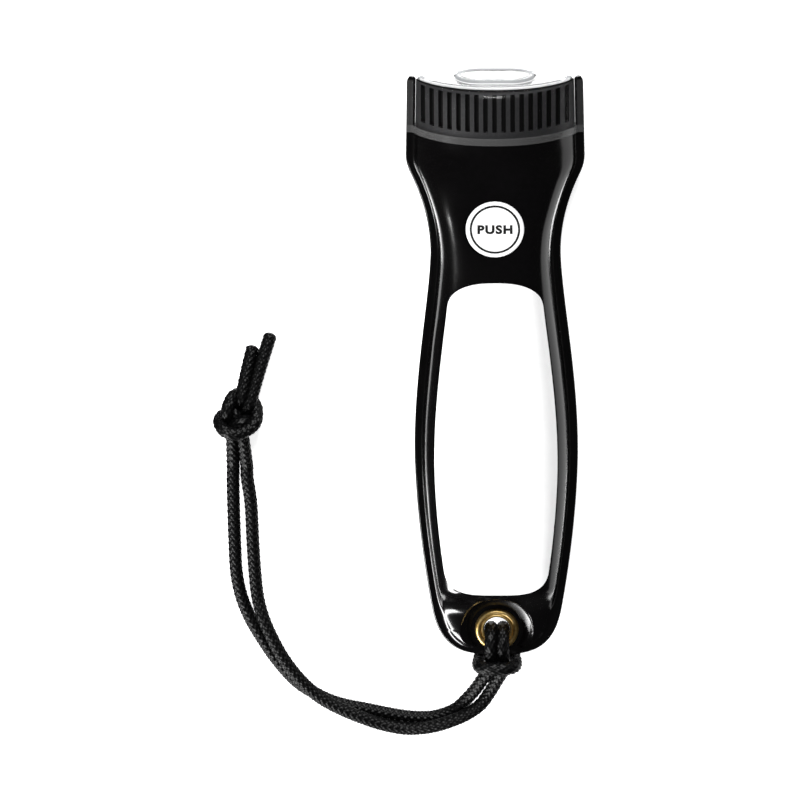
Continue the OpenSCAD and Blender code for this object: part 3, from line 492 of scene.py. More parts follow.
def height(s, rear):
    """Height of the crown above or below the flange plane."""
    if rear:
        tail = BACK_H - (BACK_H - BACK_TAIL_H) * (np.clip(BACK_TAIL_S - s, 0, None) / BACK_TAIL_S) ** 2
        body = BACK_H - HEAD_RISE * head_mix(s) - rim_fall(s, 0.4 * RIM_ROUND)
        return np.where(s < BACK_TAIL_S, tail, body)
    handle = GRIP_H - (GRIP_H - TAIL_H) * (np.clip(GRIP_S - s, 0, None) / GRIP_S) ** 1.9
    tail = TAIL_H + (handle - TAIL_H) * tail_mix(s)
    body = GRIP_H + (HEAD_H - GRIP_H) * ease((s - GRIP_S) / (NECK_S - GRIP_S)) - rim_fall(s, RIM_ROUND)
    return np.where(s < GRIP_S, tail, body)


def dish(rise, x, s, rear):
    """A rise of the skin, held down round the eyelet where the front and the back come together."""
    away = np.hypot(x, s - EYELET_S) - DISH_IN
    if rear:
        return rise * ease(away / REAR_RUN)
    roof = np.clip(DISH_SLOPE * away, 0, None) + np.clip(DISH_WALL * (away - DISH_FOOT), 0, None)
    low = np.minimum(rise, roof)
    turn = np.clip(DISH_TURN - abs(rise - roof), 0, None) ** 2 / (4 * DISH_TURN)
    return low - turn * np.clip(low / DISH_TURN, 0, 1)


def skin_z(x, s):
    """Height of the front skin's outside at a place."""
    p, q = powers(s)
    over = np.clip(1 - np.clip(abs(x) / inner_half(s), 0, 1) ** p, 0, 1) ** (1 / q)
    return FLANGE_Z + SKIN_T + dish((height(s, False) - SKIN_T) * over, x, s, False)


print("waist %.1f mm, head %.1f mm" % (2 * half_w(WAIST_S), 2 * half_w(NECK_S + 4)))

# %% [markdown]
# A vacuum-formed skin bends softly: a small fillet where the wall meets the welded flange, and a
# rounded flange edge. Each rib is drawn as a line from the crown to the flange edge and then divided
# evenly. Along the body the ribs stand square across it, and round the tail they fan out from the eyelet.

# %% Ribs of a skin
FILLET = 1.3
EDGE_ROUND = 0.7
LIP_S, LIP_THIN, LIP_BOW = 7.0, 0.2, 0.9
CROWN_PARTS, FILLET_PARTS, FLANGE_PARTS, EDGE_PARTS = 52, 6, 4, 5


def straight_rib(s):
    """Flange edge, spine and slant of a rib that stands square across the body."""
    return np.array([float(half_w(s)), s]), np.array([0.0, s]), float(lean(s))


def fan_rib(angle):
    """The same for a rib that fans out from the eyelet."""
    s = END_S * (1 - math.sin(angle) ** (2 / END_N))
    wide = float(side_w(s)) * max(math.cos(angle), 0) ** (2 / END_N)
    return np.array([wide, s]), np.array([0.0, EYELET_S]), 1.0


def divide(line, parts):
    """The same line with a given number of even parts."""
    run = np.concatenate([[0], np.cumsum(np.linalg.norm(np.diff(line, axis=0), axis=1))])
    at = np.linspace(0, run[-1], parts + 1)
    return np.stack([np.interp(at, run, line[:, k]) for k in range(line.shape[1])], axis=1)


def rib_line(rib, rear, swell):
    """Distance from the spine and height above the flange, from the crown to the flange edge."""
    edge, spine, slant = rib
    reach = np.linalg.norm(edge - spine)
    run = reach - (FLANGE_W - swell) * slant
    angle = np.radians(np.linspace(90, 0, 181))
    p, q = powers(edge[1])
    away = run * np.clip(np.cos(angle), 0, 1) ** (2 / p)
    plan = spine + (edge - spine) * (away / reach)[:, None]
    rise = (height(plan[:, 1], rear) - SKIN_T) * np.sin(angle) ** (2 / q)
    rise = dish(rise, plan[:, 0], plan[:, 1], rear)
    wall = divide(np.stack([away, rise], axis=1), 400)
    left = np.linalg.norm(wall - wall[-1], axis=1)
    stop = int(np.argmax(left < FILLET))
    corner, foot = wall[-1], np.array([run + FILLET * 0.8, 0.0])
    t = np.linspace(0, 1, FILLET_PARTS + 1)[:, None]
    fillet = (1 - t) ** 2 * wall[stop] + 2 * t * (1 - t) * corner + t ** 2 * foot
    turn = np.linspace(0, math.pi / 2, EDGE_PARTS + 1)[1:]
    lip = float(ease((LIP_S - edge[1]) / LIP_S))
    wide = EDGE_ROUND - lip * LIP_THIN
    bow = 1 - np.cos(turn) + lip * LIP_BOW * (np.sin(turn) - 1 + np.cos(turn))
    rim = np.stack([reach - wide * (1 - np.sin(turn)), -EDGE_ROUND * bow], axis=1)
    level = divide(np.array([foot, [reach - wide, 0.0]]), FLANGE_PARTS)
    line = np.vstack([divide(wall[:stop + 1], CROWN_PARTS), fillet[1:], level[1:], rim])
    return reach, line


def rib_points(rib, rear, swell=0.0, base=SKIN_T):
    """Both halves of a rib as points, from the left flange edge over the crown to the right one."""
    edge, spine, _ = rib
    reach, line = rib_line(rib, rear, swell)
    plan = spine + (edge - spine) * (line[:, :1] / reach)
    up = -1 if rear else 1
    z = FLANGE_Z + up * (base + line[:, 1])
    right = np.column_stack([plan[:, 0], plan[:, 1] - LENGTH / 2, z])
    left = right[:0:-1] * np.array([-1, 1, 1])
    return np.vstack([left, right])


def weld(bm, dist=2e-6):
    """Join points that meet, drop empty faces and turn all faces outwards."""
    bmesh.ops.remove_doubles(bm, verts=bm.verts[:], dist=dist)
    bmesh.ops.dissolve_degenerate(bm, edges=bm.edges[:], dist=1e-7)
    bmesh.ops.recalc_face_normals(bm, faces=bm.faces[:])


FAN_START = math.asin(((END_S - EYELET_S) / END_S) ** (END_N / 2))
body_ribs = [straight_rib(s) for s in np.linspace(BEZEL_S, 26, 124)]
body_ribs += [straight_rib(s) for s in np.linspace(26, EYELET_S, 53)[1:]]
body_ribs += [fan_rib(a) for a in np.linspace(FAN_START, math.pi / 2, 37)[1:]]
print("ribs", len(body_ribs), "of", len(rib_points(body_ribs[0], False)), "points")

# %% [markdown]
# Black plasticised vinyl sheet, formed hot: very dark, glossy, and never quite flat. A slow ripple of
# about two centimetres bends the reflections, a finer orange peel breaks them, and rubbed places are a
# little duller.

# %% Black vinyl material
black_vinyl, tree, shader = new_material(
    "formed_black_vinyl", Base_Color=linear("#040304"), Roughness=0.14, IOR=1.53)
place = add_node(tree, "ShaderNodeTexCoord")
ripple = add_node(tree, "ShaderNodeTexNoise", [(place.outputs["Object"], "Vector")],
                  Scale=1 / (22 * MM), Detail=1.5)
peel = add_node(tree, "ShaderNodeTexNoise", [(place.outputs["Object"], "Vector")],
                Scale=1 / (1.6 * MM), Detail=2.0)
slow = add_node(tree, "ShaderNodeBump", [(ripple.outputs["Fac"], "Height")], Strength=0.5, Distance=1.0 * MM)
fine = add_node(tree, "ShaderNodeBump", [(peel.outputs["Fac"], "Height"), (slow.outputs["Normal"], "Normal")],
                Strength=0.12, Distance=0.06 * MM)
tree.links.new(fine.outputs["Normal"], shader.inputs["Normal"])
rubbed = add_node(tree, "ShaderNodeMapRange", [(ripple.outputs["Fac"], "Value")],
                  From_Min=0.3, From_Max=0.7, To_Min=0.10, To_Max=0.20)
tree.links.new(rubbed.outputs["Result"], shader.inputs["Roughness"])
shade = add_node(tree, "ShaderNodeValToRGB", [(peel.outputs["Fac"], "Fac")])
shade.color_ramp.elements[0].color = linear("#020202")
shade.color_ramp.elements[1].color = linear("#060506")
tree.links.new(shade.outputs["Color"], shader.inputs["Base Color"])
print("material", black_vinyl.name)

# %% [markdown]
# The front skin has two round holes, one for the press pad and one for the eyelet. They are made by
# taking out the faces inside each circle and drawing the edge that is left onto the circle, which is
# quicker and cleaner than a boolean on a thin sheet. Then the sheet gets its thickness.

# %% Front and back skins
PAD_HOLE_R = 9.0
EYELET_HOLE_R = 4.6
HOLE_REACH = 2.2
STRIP_CORNER = 2.5
SHEET_T = 0.6


def punch(bm, x, s, r):
    """Cut a round hole and draw the edge that is left onto its circle."""
    centre = Vector((x, s - LENGTH / 2)) * MM
    inside = [v for v in bm.verts if (v.co.xy - centre).length < r * MM]
    bmesh.ops.delete(bm, geom=inside, context="VERTS")
    for v in bm.verts:
        away = v.co.xy - centre
        if v.is_boundary and away.length < (r + HOLE_REACH) * MM:
            v.co.xy = centre + away * (r * MM / away.length)


def strip_end(u):
    """Where the flange beside the head ends, from its inner edge at 0 to its outer edge at 1."""
    if u < 0.45:
        return SKIN_S - 0.9 * (1 - u / 0.45) ** 1.5
    return SKIN_S - STRIP_CORNER * (1 - math.sqrt(1 - ((u - 0.45) / 0.55) ** 2))


def flange_strip(bm, rear, side):
    """The welded flange beside the ribbed head, with a rounded corner."""
    first = BEZEL_S - 0.4
    up = -1 if rear else 1
    points = []
    for f in np.linspace(0, 1, 30) ** 0.7:
        line = []
        for u in (0, 0.12, 0.24, 0.35, 0.45, 0.58, 0.7, 0.8, 0.88, 0.94, 0.98, 1):
            s = first + (strip_end(u) - first) * f
            inner = float(inner_half(s)) + 0.08
            x = inner + (float(half_w(s)) - inner) * u
            fall = EDGE_ROUND * (1 - math.sqrt(max(1 - (max(u - 0.75, 0) / 0.25) ** 2, 0)))
            line.append((side * x, s - LENGTH / 2, FLANGE_Z + up * (SKIN_T - fall)))
        points.append(line)
    faces = list({face for v in grid_of(bm, np.array(points)) for face in v.link_faces})
    bm.normal_update()
    if faces[0].normal.z * up < 0:
        bmesh.ops.reverse_faces(bm, faces=faces)


MAGNETS = (38.5, 122.8)
PAD_R, PAD_DEEP = 9.9, 0.5


def magnet_pads(points):
    """Round pads pressed out of the back skin over the two magnets."""
    for s in MAGNETS:
        away = np.hypot(points[:, :, 0], points[:, :, 1] + LENGTH / 2 - s)
        down = PAD_DEEP * (1 - ease((away - PAD_R + 0.6) / 1.2))
        z = points[:, :, 2]
        points[:, :, 2] = np.where(z < FLANGE_Z - SKIN_T - 1, z - down, z)
    return points


for name, rear in (("front_skin_formed", False), ("back_skin_formed", True)):
    bm = bmesh.new()
    points = np.array([rib_points(rib, rear) for rib in body_ribs])
    grid_of(bm, magnet_pads(points) if rear else points)
    if not rear:
        punch(bm, 0, BUTTON_S, PAD_HOLE_R)
    punch(bm, 0, EYELET_S, EYELET_HOLE_R)
    weld(bm)
    flange_strip(bm, rear, 1)
    flange_strip(bm, rear, -1)
    bmesh.ops.solidify(bm, geom=bm.faces[:], thickness=SHEET_T * MM)
    skin = finish_piece(name, bm, black_vinyl)
    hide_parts("back_skin" if rear else "front_skin")

# %% [markdown]
# The hard head piece is black moulded plastic with rows of narrow slots that run towards the lens. It
# is one ring: the outside, the front edge, the window and the inside. The columns of its mesh follow
# the slot edges, so each slot is made by sinking the columns inside it.

# %% Ribbed head piece
SLOT_PITCH, SLOT_W, SLOT_DEEP = 2.74, 1.4, 1.0
SLOT_S0, SLOT_S1 = 174.7, 186.1
SLOT_EDGE = 0.12
WALL = 1.5
FRONT_SLOTS, BACK_SLOTS = 17, 15


def slot_columns(count):
    """Places across the head, and which of them lie in a slot."""
    across = []
    for i in range(count):
        x = (i - (count - 1) / 2) * SLOT_PITCH
        half = SLOT_W / 2
        across += [(x - half, False), (x - half + SLOT_EDGE, True), (x, True), (x + half - SLOT_EDGE, True),
                   (x + half, False), (x + SLOT_PITCH / 2, False)]
    return across[:-1]


def head_loop(s, count, rear):
    """Points over one face of the head at one place along it, from right to left."""
    run = float(inner_half(s))
    p, q = powers(s)
    tall = float(height(s, rear))
    columns = slot_columns(count)
    last = columns[-1][0]
    outer = [(last + (run - last) * f, False) for f in (0.12, 0.3, 0.5, 0.68, 0.82, 0.92, 0.98, 1.0)]
    columns = [(-x, f) for x, f in reversed(outer)] + columns + outer
    x = np.array([c[0] for c in columns])[::-1]
    sunk = np.array([c[1] for c in columns])[::-1]
    up = -1 if rear else 1
    z = FLANGE_Z + up * tall * np.clip(1 - (abs(x) / run) ** p, 0, 1) ** (1 / q)
    return x, z, sunk, run


def head_ring(s, inset=0.0, slotted=False):
    """One closed ring round the head, as x and z, and which points lie in a slot."""
    loops = []
    for rear, count in ((False, FRONT_SLOTS), (True, BACK_SLOTS)):
        x, z, sunk, run = head_loop(s, count, rear)
        tangent = np.gradient(np.stack([x, z], axis=1), axis=0)
        normal = np.stack([tangent[:, 1], -tangent[:, 0]], axis=1)
        normal /= np.linalg.norm(normal, axis=1)[:, None] + 1e-12
        if normal[len(x) // 2, 1] * (-1 if rear else 1) < 0:
            normal = -normal
        deep = inset + SLOT_DEEP * sunk * slotted
        loops.append(np.column_stack([x - normal[:, 0] * deep, z - normal[:, 1] * deep, sunk]))
    return np.vstack([loops[0], loops[1][::-1][1:]])


def window_ring(grow=0.0):
    """One closed ring round the window that holds the lens."""
    loops = []
    for rear, count, tall in ((False, FRONT_SLOTS, 10.2), (True, BACK_SLOTS, 6.3)):
        x, _, sunk, run = head_loop(RIM_S, count, rear)
        wide = float(inner_half(RIM_S)) - 2 + grow
        over = np.clip(1 - (abs(x) / run) ** HEAD_P, 0, 1) ** (1 / HEAD_Q)
        z = FLANGE_Z + (-1 if rear else 1) * (tall + grow) * over
        loops.append(np.column_stack([x * wide / run, z, 0 * x]))
    return np.vstack([loops[0], loops[1][::-1][1:]])


rows = []
for s in (BEZEL_S, 173.4, SLOT_S0 - SLOT_EDGE):
    rows.append((s, head_ring(s), False))
for s in list(np.linspace(SLOT_S0, 184.5, 5)) + [185.2, 185.7, SLOT_S1]:
    rows.append((s, head_ring(s, 0, True), True))
for s in (SLOT_S1 + 0.08, 186.5, 186.8, 186.95, RIM_S):
    rows.append((s, head_ring(s), False))
rows.append((RIM_S, window_ring(0.5), False))
rows.append((RIM_S - 0.2, window_ring(0.2), False))
rows.append((RIM_S - 3.0, window_ring(0.2), False))
for s in (RIM_S - 3.0, BEZEL_S):
    rows.append((s, head_ring(s, WALL), False))
rows.append(rows[0])
points = np.array([np.column_stack([ring[:, 0], np.full(len(ring), s - LENGTH / 2), ring[:, 1]])
                   for s, ring, _ in rows])
slot_here = np.array([ring[:, 2] * inside for _, ring, inside in rows]) > 0.5
print("head rings", points.shape[:2])

# %% [markdown]
# Satin moulded ABS, dark grey on the ribs. The slot floors and the front face round the window get a
# near-black copy of it, which is painted shade for the shade that falls in the slots and on that face. The
# mould leaves a fine grain.

# %% Head piece materials
def moulded(name, low, high, grain_mm, rough, bump_mm, metallic=0.0, **settings):
    """A moulded, cast or plated surface: two close shades, a grain size, and a grain depth."""
    material, tree, shader = new_material(name, Base_Color=linear(high), Roughness=rough, Metallic=metallic,
                                          **settings)
    place = add_node(tree, "ShaderNodeTexCoord")
    grain = add_node(tree, "ShaderNodeTexNoise", [(place.outputs["Object"], "Vector")],
                     Scale=1 / (grain_mm * MM), Detail=4.0, Roughness=0.55)
    shade = add_node(tree, "ShaderNodeValToRGB", [(grain.outputs["Fac"], "Fac")])
    shade.color_ramp.elements[0].position = 0.3
    shade.color_ramp.elements[0].color = linear(low)
    shade.color_ramp.elements[1].position = 0.7
    shade.color_ramp.elements[1].color = linear(high)
    tree.links.new(shade.outputs["Color"], shader.inputs["Base Color"])
    bump = add_node(tree, "ShaderNodeBump", [(grain.outputs["Fac"], "Height")],
                    Strength=0.3, Distance=bump_mm * MM)
    tree.links.new(bump.outputs["Normal"], shader.inputs["Normal"])
    return material


rib_plastic = moulded("satin_grey_abs", "#252526", "#2c2c2d", 0.8, 0.5, 0.05, Specular_IOR_Level=0.25)
# A near-black copy of the rib plastic: painted shade for the slots and the front face.
painted_shade_abs = moulded("painted_shade_black_abs", "#020202", "#050505", 0.8, 0.7, 0.05, Specular_IOR_Level=0.1)
bm = bmesh.new()
grid_of(bm, points)
spots = {tuple(np.round(spot, 4)) for spot in points[slot_here]}
# Faces in a slot or on the front face take the painted shade copy.
for face in bm.faces:
    hits = sum(tuple(np.round(np.array(v.co) / MM, 4)) in spots for v in face.verts)
    if hits >= 2 or face.calc_center_median().y / MM > RIM_S - LENGTH / 2 - 0.15:
        face.material_index = 1
weld(bm, 1e-6)
head_piece = finish_piece("ribbed_head", bm, [rib_plastic, painted_shade_abs])
for polygon in head_piece.data.polygons:
    polygon.use_smooth = polygon.material_index == 0
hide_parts("bezel")

# %% [markdown]
# The lens is one clear moulding: a plate that fills the head's window and a raised oval in its middle.
# It is lofted through rings, from the middle of the oval outwards, over the edge of the plate and
# round to its back.

# %% Lens shape
BOSS_W, BOSS_D, BEAM_Z = 24.0, 15.0, 11.45
AROUND = 97


def boss_ring(grow):
    """Points round the raised oval, a strip with half-round ends."""
    angle = np.linspace(0, 2 * math.pi, AROUND)
    r = BOSS_D / 2 + grow
    x = r * np.cos(angle) + np.sign(np.round(np.cos(angle), 9)) * (BOSS_W - BOSS_D) / 2
    return np.column_stack([x, BEAM_Z + r * np.sin(angle)])


def plate_ring(grow, wide=22.0, front=10.1, back=6.2):
    """Points round the plate of the lens, or round its wider front rim."""
    angle = np.linspace(0, 2 * math.pi, AROUND)
    c, d = np.cos(angle), np.sin(angle)
    tall = np.where(d > 0, front + grow, back + grow)
    x = np.sign(c) * (wide + grow) * abs(c) ** (2 / HEAD_P)
    return np.column_stack([x, FLANGE_Z + np.sign(d) * tall * abs(d) ** (2 / HEAD_Q)])


def rim_ring(grow):
    return plate_ring(grow, 23.6, 13.3, 7.6)


boss, plate, foot = boss_ring(0), plate_ring(0), plate_ring(0.2)
centre = np.array([0, BEAM_Z])
rings = [(centre + (boss - centre) * f, 188.75 - 0.25 * (1 - f ** 2)) for f in (0, 0.25, 0.5, 0.7)]
rings += [(boss_ring(-1.6), 188.8), (boss_ring(-1.2), 189.0), (boss_ring(-0.6), 189.0)]
rings += [(boss_ring(-0.15), 188.9), (boss, 188.7), (boss_ring(0.1), 188.1), (boss_ring(0.3), 187.9)]
rings += [(boss_ring(0.6) * (1 - f) + rim_ring(-1.6) * f, 187.85) for f in (0.15, 0.5, 0.85, 1)]
rings += [(rim_ring(-0.2), 187.75), (rim_ring(0), 187.5), (rim_ring(0), 187.06)]
rings += [(plate, 187.02), (plate, 184.1), (foot, 184.0), (foot, 183.1)]
rings += [(centre + (plate - centre) * f, 183.0) for f in (0.95, 0.6, 0.3, 0)]
points = np.array([np.column_stack([ring[:, 0], np.full(AROUND, s - LENGTH / 2), ring[:, 1]])
                   for ring, s in rings])
print("lens rings", points.shape[:2])

# %% [markdown]
# Clear acrylic lets the bright lamp cup behind it show. In the real lens its moulded edges pass light
# sideways and show as thin grey lines; here these lines are painted shade, a grey acrylic on the edge bands,
# with more of them on the lower, far side. The steps and the rim towards the front are finely matt and
# scatter the light white. The bands between the rings, counted from the middle outwards, say which finish
# goes where.

# %% Lens materials
PAINTED_NEAR_LINES, PAINTED_FAR_LINES, FROSTED = (4, 6, 7, 8), (4, 5, 6, 7, 8, 14, 15), (9, 15, 16)
clear_acrylic, tree, shader = new_material(
    "clear_moulded_acrylic", Base_Color=linear("#fbfcfc"), Roughness=0.08, IOR=1.49, Transmission_Weight=0.8)
place = add_node(tree, "ShaderNodeTexCoord")
haze = add_node(tree, "ShaderNodeTexNoise", [(place.outputs["Object"], "Vector")],
                Scale=1 / (3 * MM), Detail=2.0)
shade = add_node(tree, "ShaderNodeValToRGB", [(haze.outputs["Fac"], "Fac")])
shade.color_ramp.elements[0].color = linear("#f2f4f5")
shade.color_ramp.elements[1].color = linear("#ffffff")
tree.links.new(shade.outputs["Color"], shader.inputs["Base Color"])

# Grey acrylic for the painted shade lines at the lens edges.
painted_line_acrylic, _, _ = new_material(
    "acrylic_edge_painted_shade", Base_Color=linear("#a4a6a8"), Roughness=0.3, Specular_IOR_Level=0.0, IOR=1.49,
    Transmission_Weight=0.2)
frosted_acrylic, _, _ = new_material(
    "frosted_acrylic", Base_Color=linear("#fbfcfc"), Roughness=0.4, IOR=1.49, Transmission_Weight=0.35)

bm = bmesh.new()
for band in range(len(rings) - 1):
    for v in grid_of(bm, points[band:band + 2]):
        for face in v.link_faces:
            low = face.calc_center_median().z < BEAM_Z * MM
            # Edge bands take the painted shade grey, and the lower, far side has more of them.
            if band in (PAINTED_FAR_LINES if low else PAINTED_NEAR_LINES):
                face.material_index = 1
            elif band in FROSTED and not low:
                face.material_index = 2
weld(bm, 1e-6)
lens = finish_piece("lens_clear", bm, [clear_acrylic, painted_line_acrylic, frosted_acrylic])
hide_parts("lens")

# %% [markdown]
# Clear vinyl covers the ribbed head and is welded onto the black skins, where a band of it shows as a
# lighter grey stripe. It is a thin, see-through sheet with the same ribs as the skin, a little larger.

# %% Clear vinyl windows
def clear_sheet(name, veil, seen, rough):
    """See-through vinyl: the tint of its veil, how much of it is seen, and how dull it is."""
    material, tree, shader = new_material(name, Base_Color=linear(veil), Roughness=rough, IOR=1.9, Alpha=seen)
    place = add_node(tree, "ShaderNodeTexCoord")
    pull = add_node(tree, "ShaderNodeTexNoise", [(place.outputs["Object"], "Vector")],
                    Scale=1 / (9 * MM), Detail=2.0)
    bump = add_node(tree, "ShaderNodeBump", [(pull.outputs["Fac"], "Height")],
                    Strength=0.5, Distance=0.6 * MM)
    tree.links.new(bump.outputs["Normal"], shader.inputs["Normal"])
    shade = add_node(tree, "ShaderNodeMapRange", [(pull.outputs["Fac"], "Value")],
                     From_Min=0.3, From_Max=0.7, To_Min=rough * 0.7, To_Max=rough * 1.4)
    tree.links.new(shade.outputs["Result"], shader.inputs["Roughness"])
    return material


clear_vinyl = clear_sheet("clear_vinyl_sheet", "#141416", 0.04, 0.09)
weld_vinyl = clear_sheet("welded_vinyl_band", "#5a5a5a", 0.4, 0.25)
edge_vinyl = clear_sheet("welded_vinyl_edge", "#5a5a5a", 0.16, 0.25)

film_rows = list(np.linspace(FILM_S, BEZEL_S + 0.5, 5))
film_rows += list(np.linspace(BEZEL_S + 1.6, RIM_S - RIM_ROUND, 10))
film_rows += [RIM_S - RIM_ROUND + RIM_ROUND * math.sin(math.radians(9 * i)) for i in range(1, 11)]
for name, rear in (("clear_window_front", False), ("clear_window_back", True)):
    bm = bmesh.new()
    points = np.array([rib_points(straight_rib(s), rear, FILM_T, SKIN_T + FILM_T) for s in film_rows])
    grid_of(bm, points)
    weld(bm)
    bmesh.ops.solidify(bm, geom=bm.faces[:], thickness=0.4 * MM)
    for face in bm.faces:
        spot = face.calc_center_median() / MM
        s = spot.y + LENGTH / 2
        face.material_index = 1 if s < BEZEL_S + 0.5 else 2 if abs(spot.x) > inner_half(s) + 0.7 else 0
    film = finish_piece(name, bm, [clear_vinyl, weld_vinyl, edge_vinyl])
    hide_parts("clear_back" if rear else "clear_front")

# %% [markdown]
# The label is a thin, plain panel of white vinyl that follows the curve of the handle. Its outline keeps
# the same margin from the flange, and its ends are rounded.

# %% White label
LABEL_S0, LABEL_S1, LABEL_MARGIN, LABEL_CAP = 23.3, 126.8, 6.4, 9.0
LABEL_LIFT, LABEL_T, LABEL_POINTS = 0.28, 0.18, 49
white_vinyl = moulded("glossy_white_vinyl", "#fafafa", "#fefefe", 6, 0.24, 0.02)


def label_part(s):
    """How much of its full width the label has, less than 1 at its rounded ends."""
    t = np.clip(1 - min(s - LABEL_S0, LABEL_S1 - s) / LABEL_CAP, 0, 1)
    square = 3.2 if s < GRIP_S else 2.6
    return (1 - t ** square) ** (1 / square)


stations = LABEL_S0 + (LABEL_S1 - LABEL_S0) * (0.5 - 0.5 * np.cos(np.linspace(0, math.pi, 120)))
points = []
for s in stations:
    half = float(label_part(s)) * (float(half_w(s)) - LABEL_MARGIN)
    x = np.linspace(-half, half, LABEL_POINTS)
    z = skin_z(x, np.full(LABEL_POINTS, s)) + LABEL_LIFT
    points.append(np.column_stack([x, np.full(LABEL_POINTS, s - LENGTH / 2), z]))
bm = bmesh.new()
grid_of(bm, np.array(points))
weld(bm, 1e-6)
bmesh.ops.solidify(bm, geom=bm.faces[:], thickness=LABEL_T * MM)
label = finish_piece("label_sheet", bm, white_vinyl)
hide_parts("label_panel")

# %% [markdown]
# The press pad is a white disc on the switch with a thin black ring and one plain word. The rings of
# its mesh fall on the edges of the black line, so the line is a material and not a texture. The word is
# real type, laid just above the pad as a film of ink.

# %% Press pad
INK_IN, INK_OUT = 7.02, 7.7
PAD_LIFT, PAD_BASE = 0.12, 25.42
black_ink = moulded("screen_black_ink", "#0c0c0c", "#141414", 0.5, 0.4, 0.01)
pad_rings = [0, 1.5, 3, 4.5, 6, INK_IN, INK_OUT, 8.1, 8.55, 8.8]
angle = np.linspace(0, 2 * math.pi, 121)
points = []
for r in pad_rings:
    x, s = r * np.cos(angle), BUTTON_S + r * np.sin(angle)
    fall = 0.06 if r > 8.7 else 0
    points.append(np.column_stack([x, s - LENGTH / 2, skin_z(x, s) + PAD_LIFT - fall]))
for r, z in ((8.88, 26.0), (8.9, 25.6), (8.7, PAD_BASE), (4.0, PAD_BASE), (0, PAD_BASE)):
    s = BUTTON_S + r * np.sin(angle)
    points.append(np.column_stack([r * np.cos(angle), s - LENGTH / 2, 0 * angle + z]))
bm = bmesh.new()
grid_of(bm, np.array(points))
weld(bm, 1e-6)
for face in bm.faces:
    spot = face.calc_center_median() / MM
    away = math.hypot(spot.x, spot.y + LENGTH / 2 - BUTTON_S)
    face.material_index = int(INK_IN < away < INK_OUT and face.normal.z > 0.5)
pad = finish_piece("press_pad_disc", bm, [white_vinyl, black_ink], "button")
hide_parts("press_pad")

# The word is fitted to its width and height, and then laid on the pad.
WORD_W, WORD_H = 10.7, 2.9
type_curve = bpy.data.curves.new("pad_word", "FONT")
type_curve.body = "PUSH"
type_curve.align_x = "CENTER"
type_curve.align_y = "CENTER"
type_curve.size = 4.0 * MM
type_curve.extrude = 0.01 * MM
type_curve.offset = 0.2 * MM
type_curve.space_character = 1.16
type_object = bpy.data.objects.new("pad_word", type_curve)
bpy.context.scene.collection.objects.link(type_object)
bpy.context.view_layer.update()
shaped = type_object.evaluated_get(bpy.context.evaluated_depsgraph_get())
word_mesh = bpy.data.meshes.new_from_object(shaped)
bpy.data.objects.remove(type_object)
xs = [v.co.x for v in word_mesh.vertices]
ys = [v.co.y for v in word_mesh.vertices]
fit = Matrix.Diagonal((WORD_W * MM / (max(xs) - min(xs)), WORD_H * MM / (max(ys) - min(ys)), 1, 1))
middle = Matrix.Translation((-(max(xs) + min(xs)) / 2, -(max(ys) + min(ys)) / 2, 0))
crown = float(skin_z(0.0, BUTTON_S)) + PAD_LIFT
on_pad = Matrix.Translation(Vector((0, BUTTON_S - LENGTH / 2, crown + 0.02)) * MM)
word_mesh.transform(on_pad @ fit @ middle)
word_mesh.materials.clear()
word_mesh.materials.append(black_ink)
word = bpy.data.objects.new("pad_word", word_mesh)
bpy.context.scene.collection.objects.link(word)
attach(word, "button")
print("pad and word placed at", round(crown, 2), "mm")

# %% [markdown]
# The eyelet is a brass tube whose front end is rolled over into a round lip. It is spun from its
# section, which is the quickest way to any round thing.

# %% Eyelet
BORE_R, ROLL_R, LIP_Z = 4.1, 1.375, FLANGE_Z + SKIN_T + 0.08
TUBE_T = 0.45
section = [(BORE_R + TUBE_T - TUBE_T * math.cos(a), LIP_Z + 0.4 + 0.4 * math.sin(a))
           for a in np.linspace(0, 2.6, 8)]
section += [(BORE_R + 1.8 - 0.95 * math.cos(a), LIP_Z + ROLL_R * math.sin(a))
            for a in np.linspace(0.4, math.pi, 14)]
section += [(BORE_R + 2 * ROLL_R - 0.25, LIP_Z), (BORE_R + TUBE_T, LIP_Z), (BORE_R + TUBE_T, 8.1)]
section += [(BORE_R + 1.6, 8.0), (BORE_R + 1.6, 7.65), (BORE_R + 0.8, 7.52), (BORE_R + 0.2, 7.6)]
section += [(BORE_R, 7.9)]
bm = bmesh.new()
corners = [bm.verts.new((r * MM, (EYELET_S - LENGTH / 2) * MM, z * MM)) for r, z in section]
edges = [bm.edges.new((corners[i], corners[(i + 1) % len(corners)])) for i in range(len(corners))]
bmesh.ops.spin(bm, geom=corners + edges, cent=(0, (EYELET_S - LENGTH / 2) * MM, 0), axis=(0, 0, 1),
               angle=2 * math.pi, steps=72, use_merge=True)
weld(bm, 1e-6)

# Polished brass: warm and mirror-like, with faint turning marks and a few duller, browner patches.
rolled_brass = moulded("rolled_brass", "#bd9a52", "#e6c98c", 1.4, 0.4, 0.04, 1.0)
eyelet = finish_piece("eyelet_rolled", bm, rolled_brass)
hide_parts("eyelet")

# %% [markdown]
# The pieces inside keep their solids, because their shapes are right, and get the finish of what they
# are made of. The lamp cup and bulb show through the lens, and the rest when a reader takes the model
# apart.

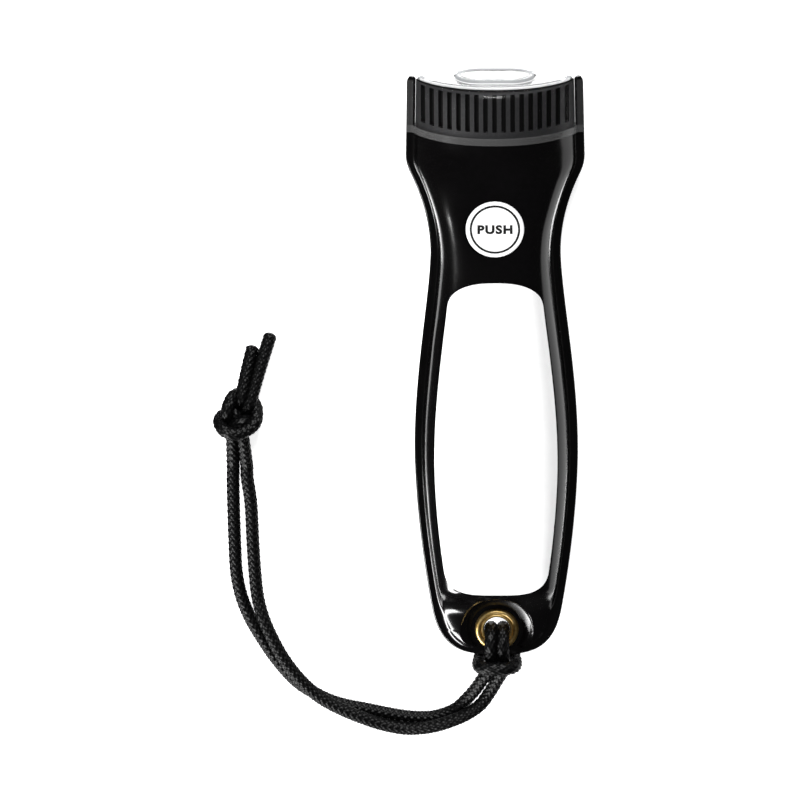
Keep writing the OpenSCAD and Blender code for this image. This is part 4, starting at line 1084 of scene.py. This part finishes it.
# %% Finishes of the inner pieces
inner_finishes = {
    "reflector_mirror": moulded("vacuum_plated_mirror", "#d9dbe0", "#f2f3f5", 6, 0.06, 0.01, 1.0),
    "lamp_glass": clear_acrylic,
    "contact_brass": moulded("bright_sheet_brass", "#a98742", "#cfae68", 2.2, 0.26, 0.03, 1.0),
    "plated_steel": moulded("nickel_plated_steel", "#a9a9a8", "#cfcfcd", 1.5, 0.25, 0.02, 1.0),
    "case_plastic": moulded("moulded_black_abs", "#161617", "#242425", 0.9, 0.5, 0.06),
    "cell_wrap": moulded("printed_cell_wrap", "#4c5157", "#5d636a", 5.0, 0.3, 0.02),
    "switch_plastic": moulded("moulded_white_nylon", "#d8d8d4", "#e9e9e6", 1.0, 0.5, 0.05),
    "magnet_ferrite": moulded("sintered_ferrite", "#2a2a2c", "#3d3d40", 0.5, 0.7, 0.1),
    "eyelet_brass": rolled_brass,
}
dressed = 0
for part in frame["record"]["subparts"]:
    finish = inner_finishes.get(part["material_slot"])
    node = frame["nodes"].get(part["node"])
    if finish is None or node is None:
        continue
    node.data.materials.clear()
    node.data.materials.append(finish)
    dressed += 1
print("inner pieces dressed:", dressed)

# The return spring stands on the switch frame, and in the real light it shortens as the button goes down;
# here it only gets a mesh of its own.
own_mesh(frame["nodes"]["button_spring"])

# %% [markdown]
# A white table with soft light from the lens end keeps the table and the label bright. Black gloss is
# drawn by what it mirrors, so the sky stays dark, one low light stands at the left of the tail, and four
# bright cards stand below the table. The table is hidden from mirror rays, so the cards light nothing
# and are only seen as reflections: along both flanks, on the tail and on the face of the clear lens.

# %% Table, lights and sky
bm = bmesh.new()
bmesh.ops.create_grid(bm, x_segments=1, y_segments=1, size=4.0)
table_mesh = bpy.data.meshes.new("table")
bm.to_mesh(table_mesh)
bm.free()
white_table, tree, shader = new_material(
    "white_table", Base_Color=linear("#ffffff"), Roughness=0.9, Emission_Color=linear("#ffffff"),
    Emission_Strength=0.85)
table_mesh.materials.append(white_table)
table = bpy.data.objects.new("table", table_mesh)
bpy.context.scene.collection.objects.link(table)
table.visible_glossy = False


def soft_light(name, place, wide, tall, watts):
    """A rectangle of soft light that faces the middle of the scene."""
    data = bpy.data.lights.new(name, "AREA")
    data.shape = "RECTANGLE"
    data.size = wide
    data.size_y = tall
    data.energy = watts
    light = bpy.data.objects.new(name, data)
    spot = Vector(place)
    light.matrix_world = Matrix.Translation(spot) @ (-spot).to_track_quat("-Z", "Y").to_matrix().to_4x4()
    bpy.context.scene.collection.objects.link(light)
    return light


soft_light("lens_end_light", (0.0, 1.25, 1.05), 0.5, 0.9, 33)
soft_light("left_light", (-0.85, -1.0, 0.55), 1.1, 0.4, 36)
soft_light("tail_card", (0.0, -0.55, -0.65), 1.0, 0.75, 8.0)
soft_light("lens_card", (0.0, 0.31, -0.65), 0.4, 0.3, 1.6)
# The side cards face level, and are then lowered below the table.
right_card = soft_light("right_card", (0.4, 0.0, 0.0), 1.2, 0.5, 1.7)
right_card.location.z = -0.27
left_card = soft_light("left_card", (-0.4, 0.0, 0.0), 1.2, 0.75, 2.6)
left_card.location.z = -0.83
world = bpy.data.worlds.new("studio_dark")
world.use_nodes = True
world.node_tree.nodes["Background"].inputs["Color"].default_value = (0.035, 0.035, 0.035, 1)
bpy.context.scene.world = world
bpy.context.scene.view_settings.view_transform = "Standard"
print("table and lights set")
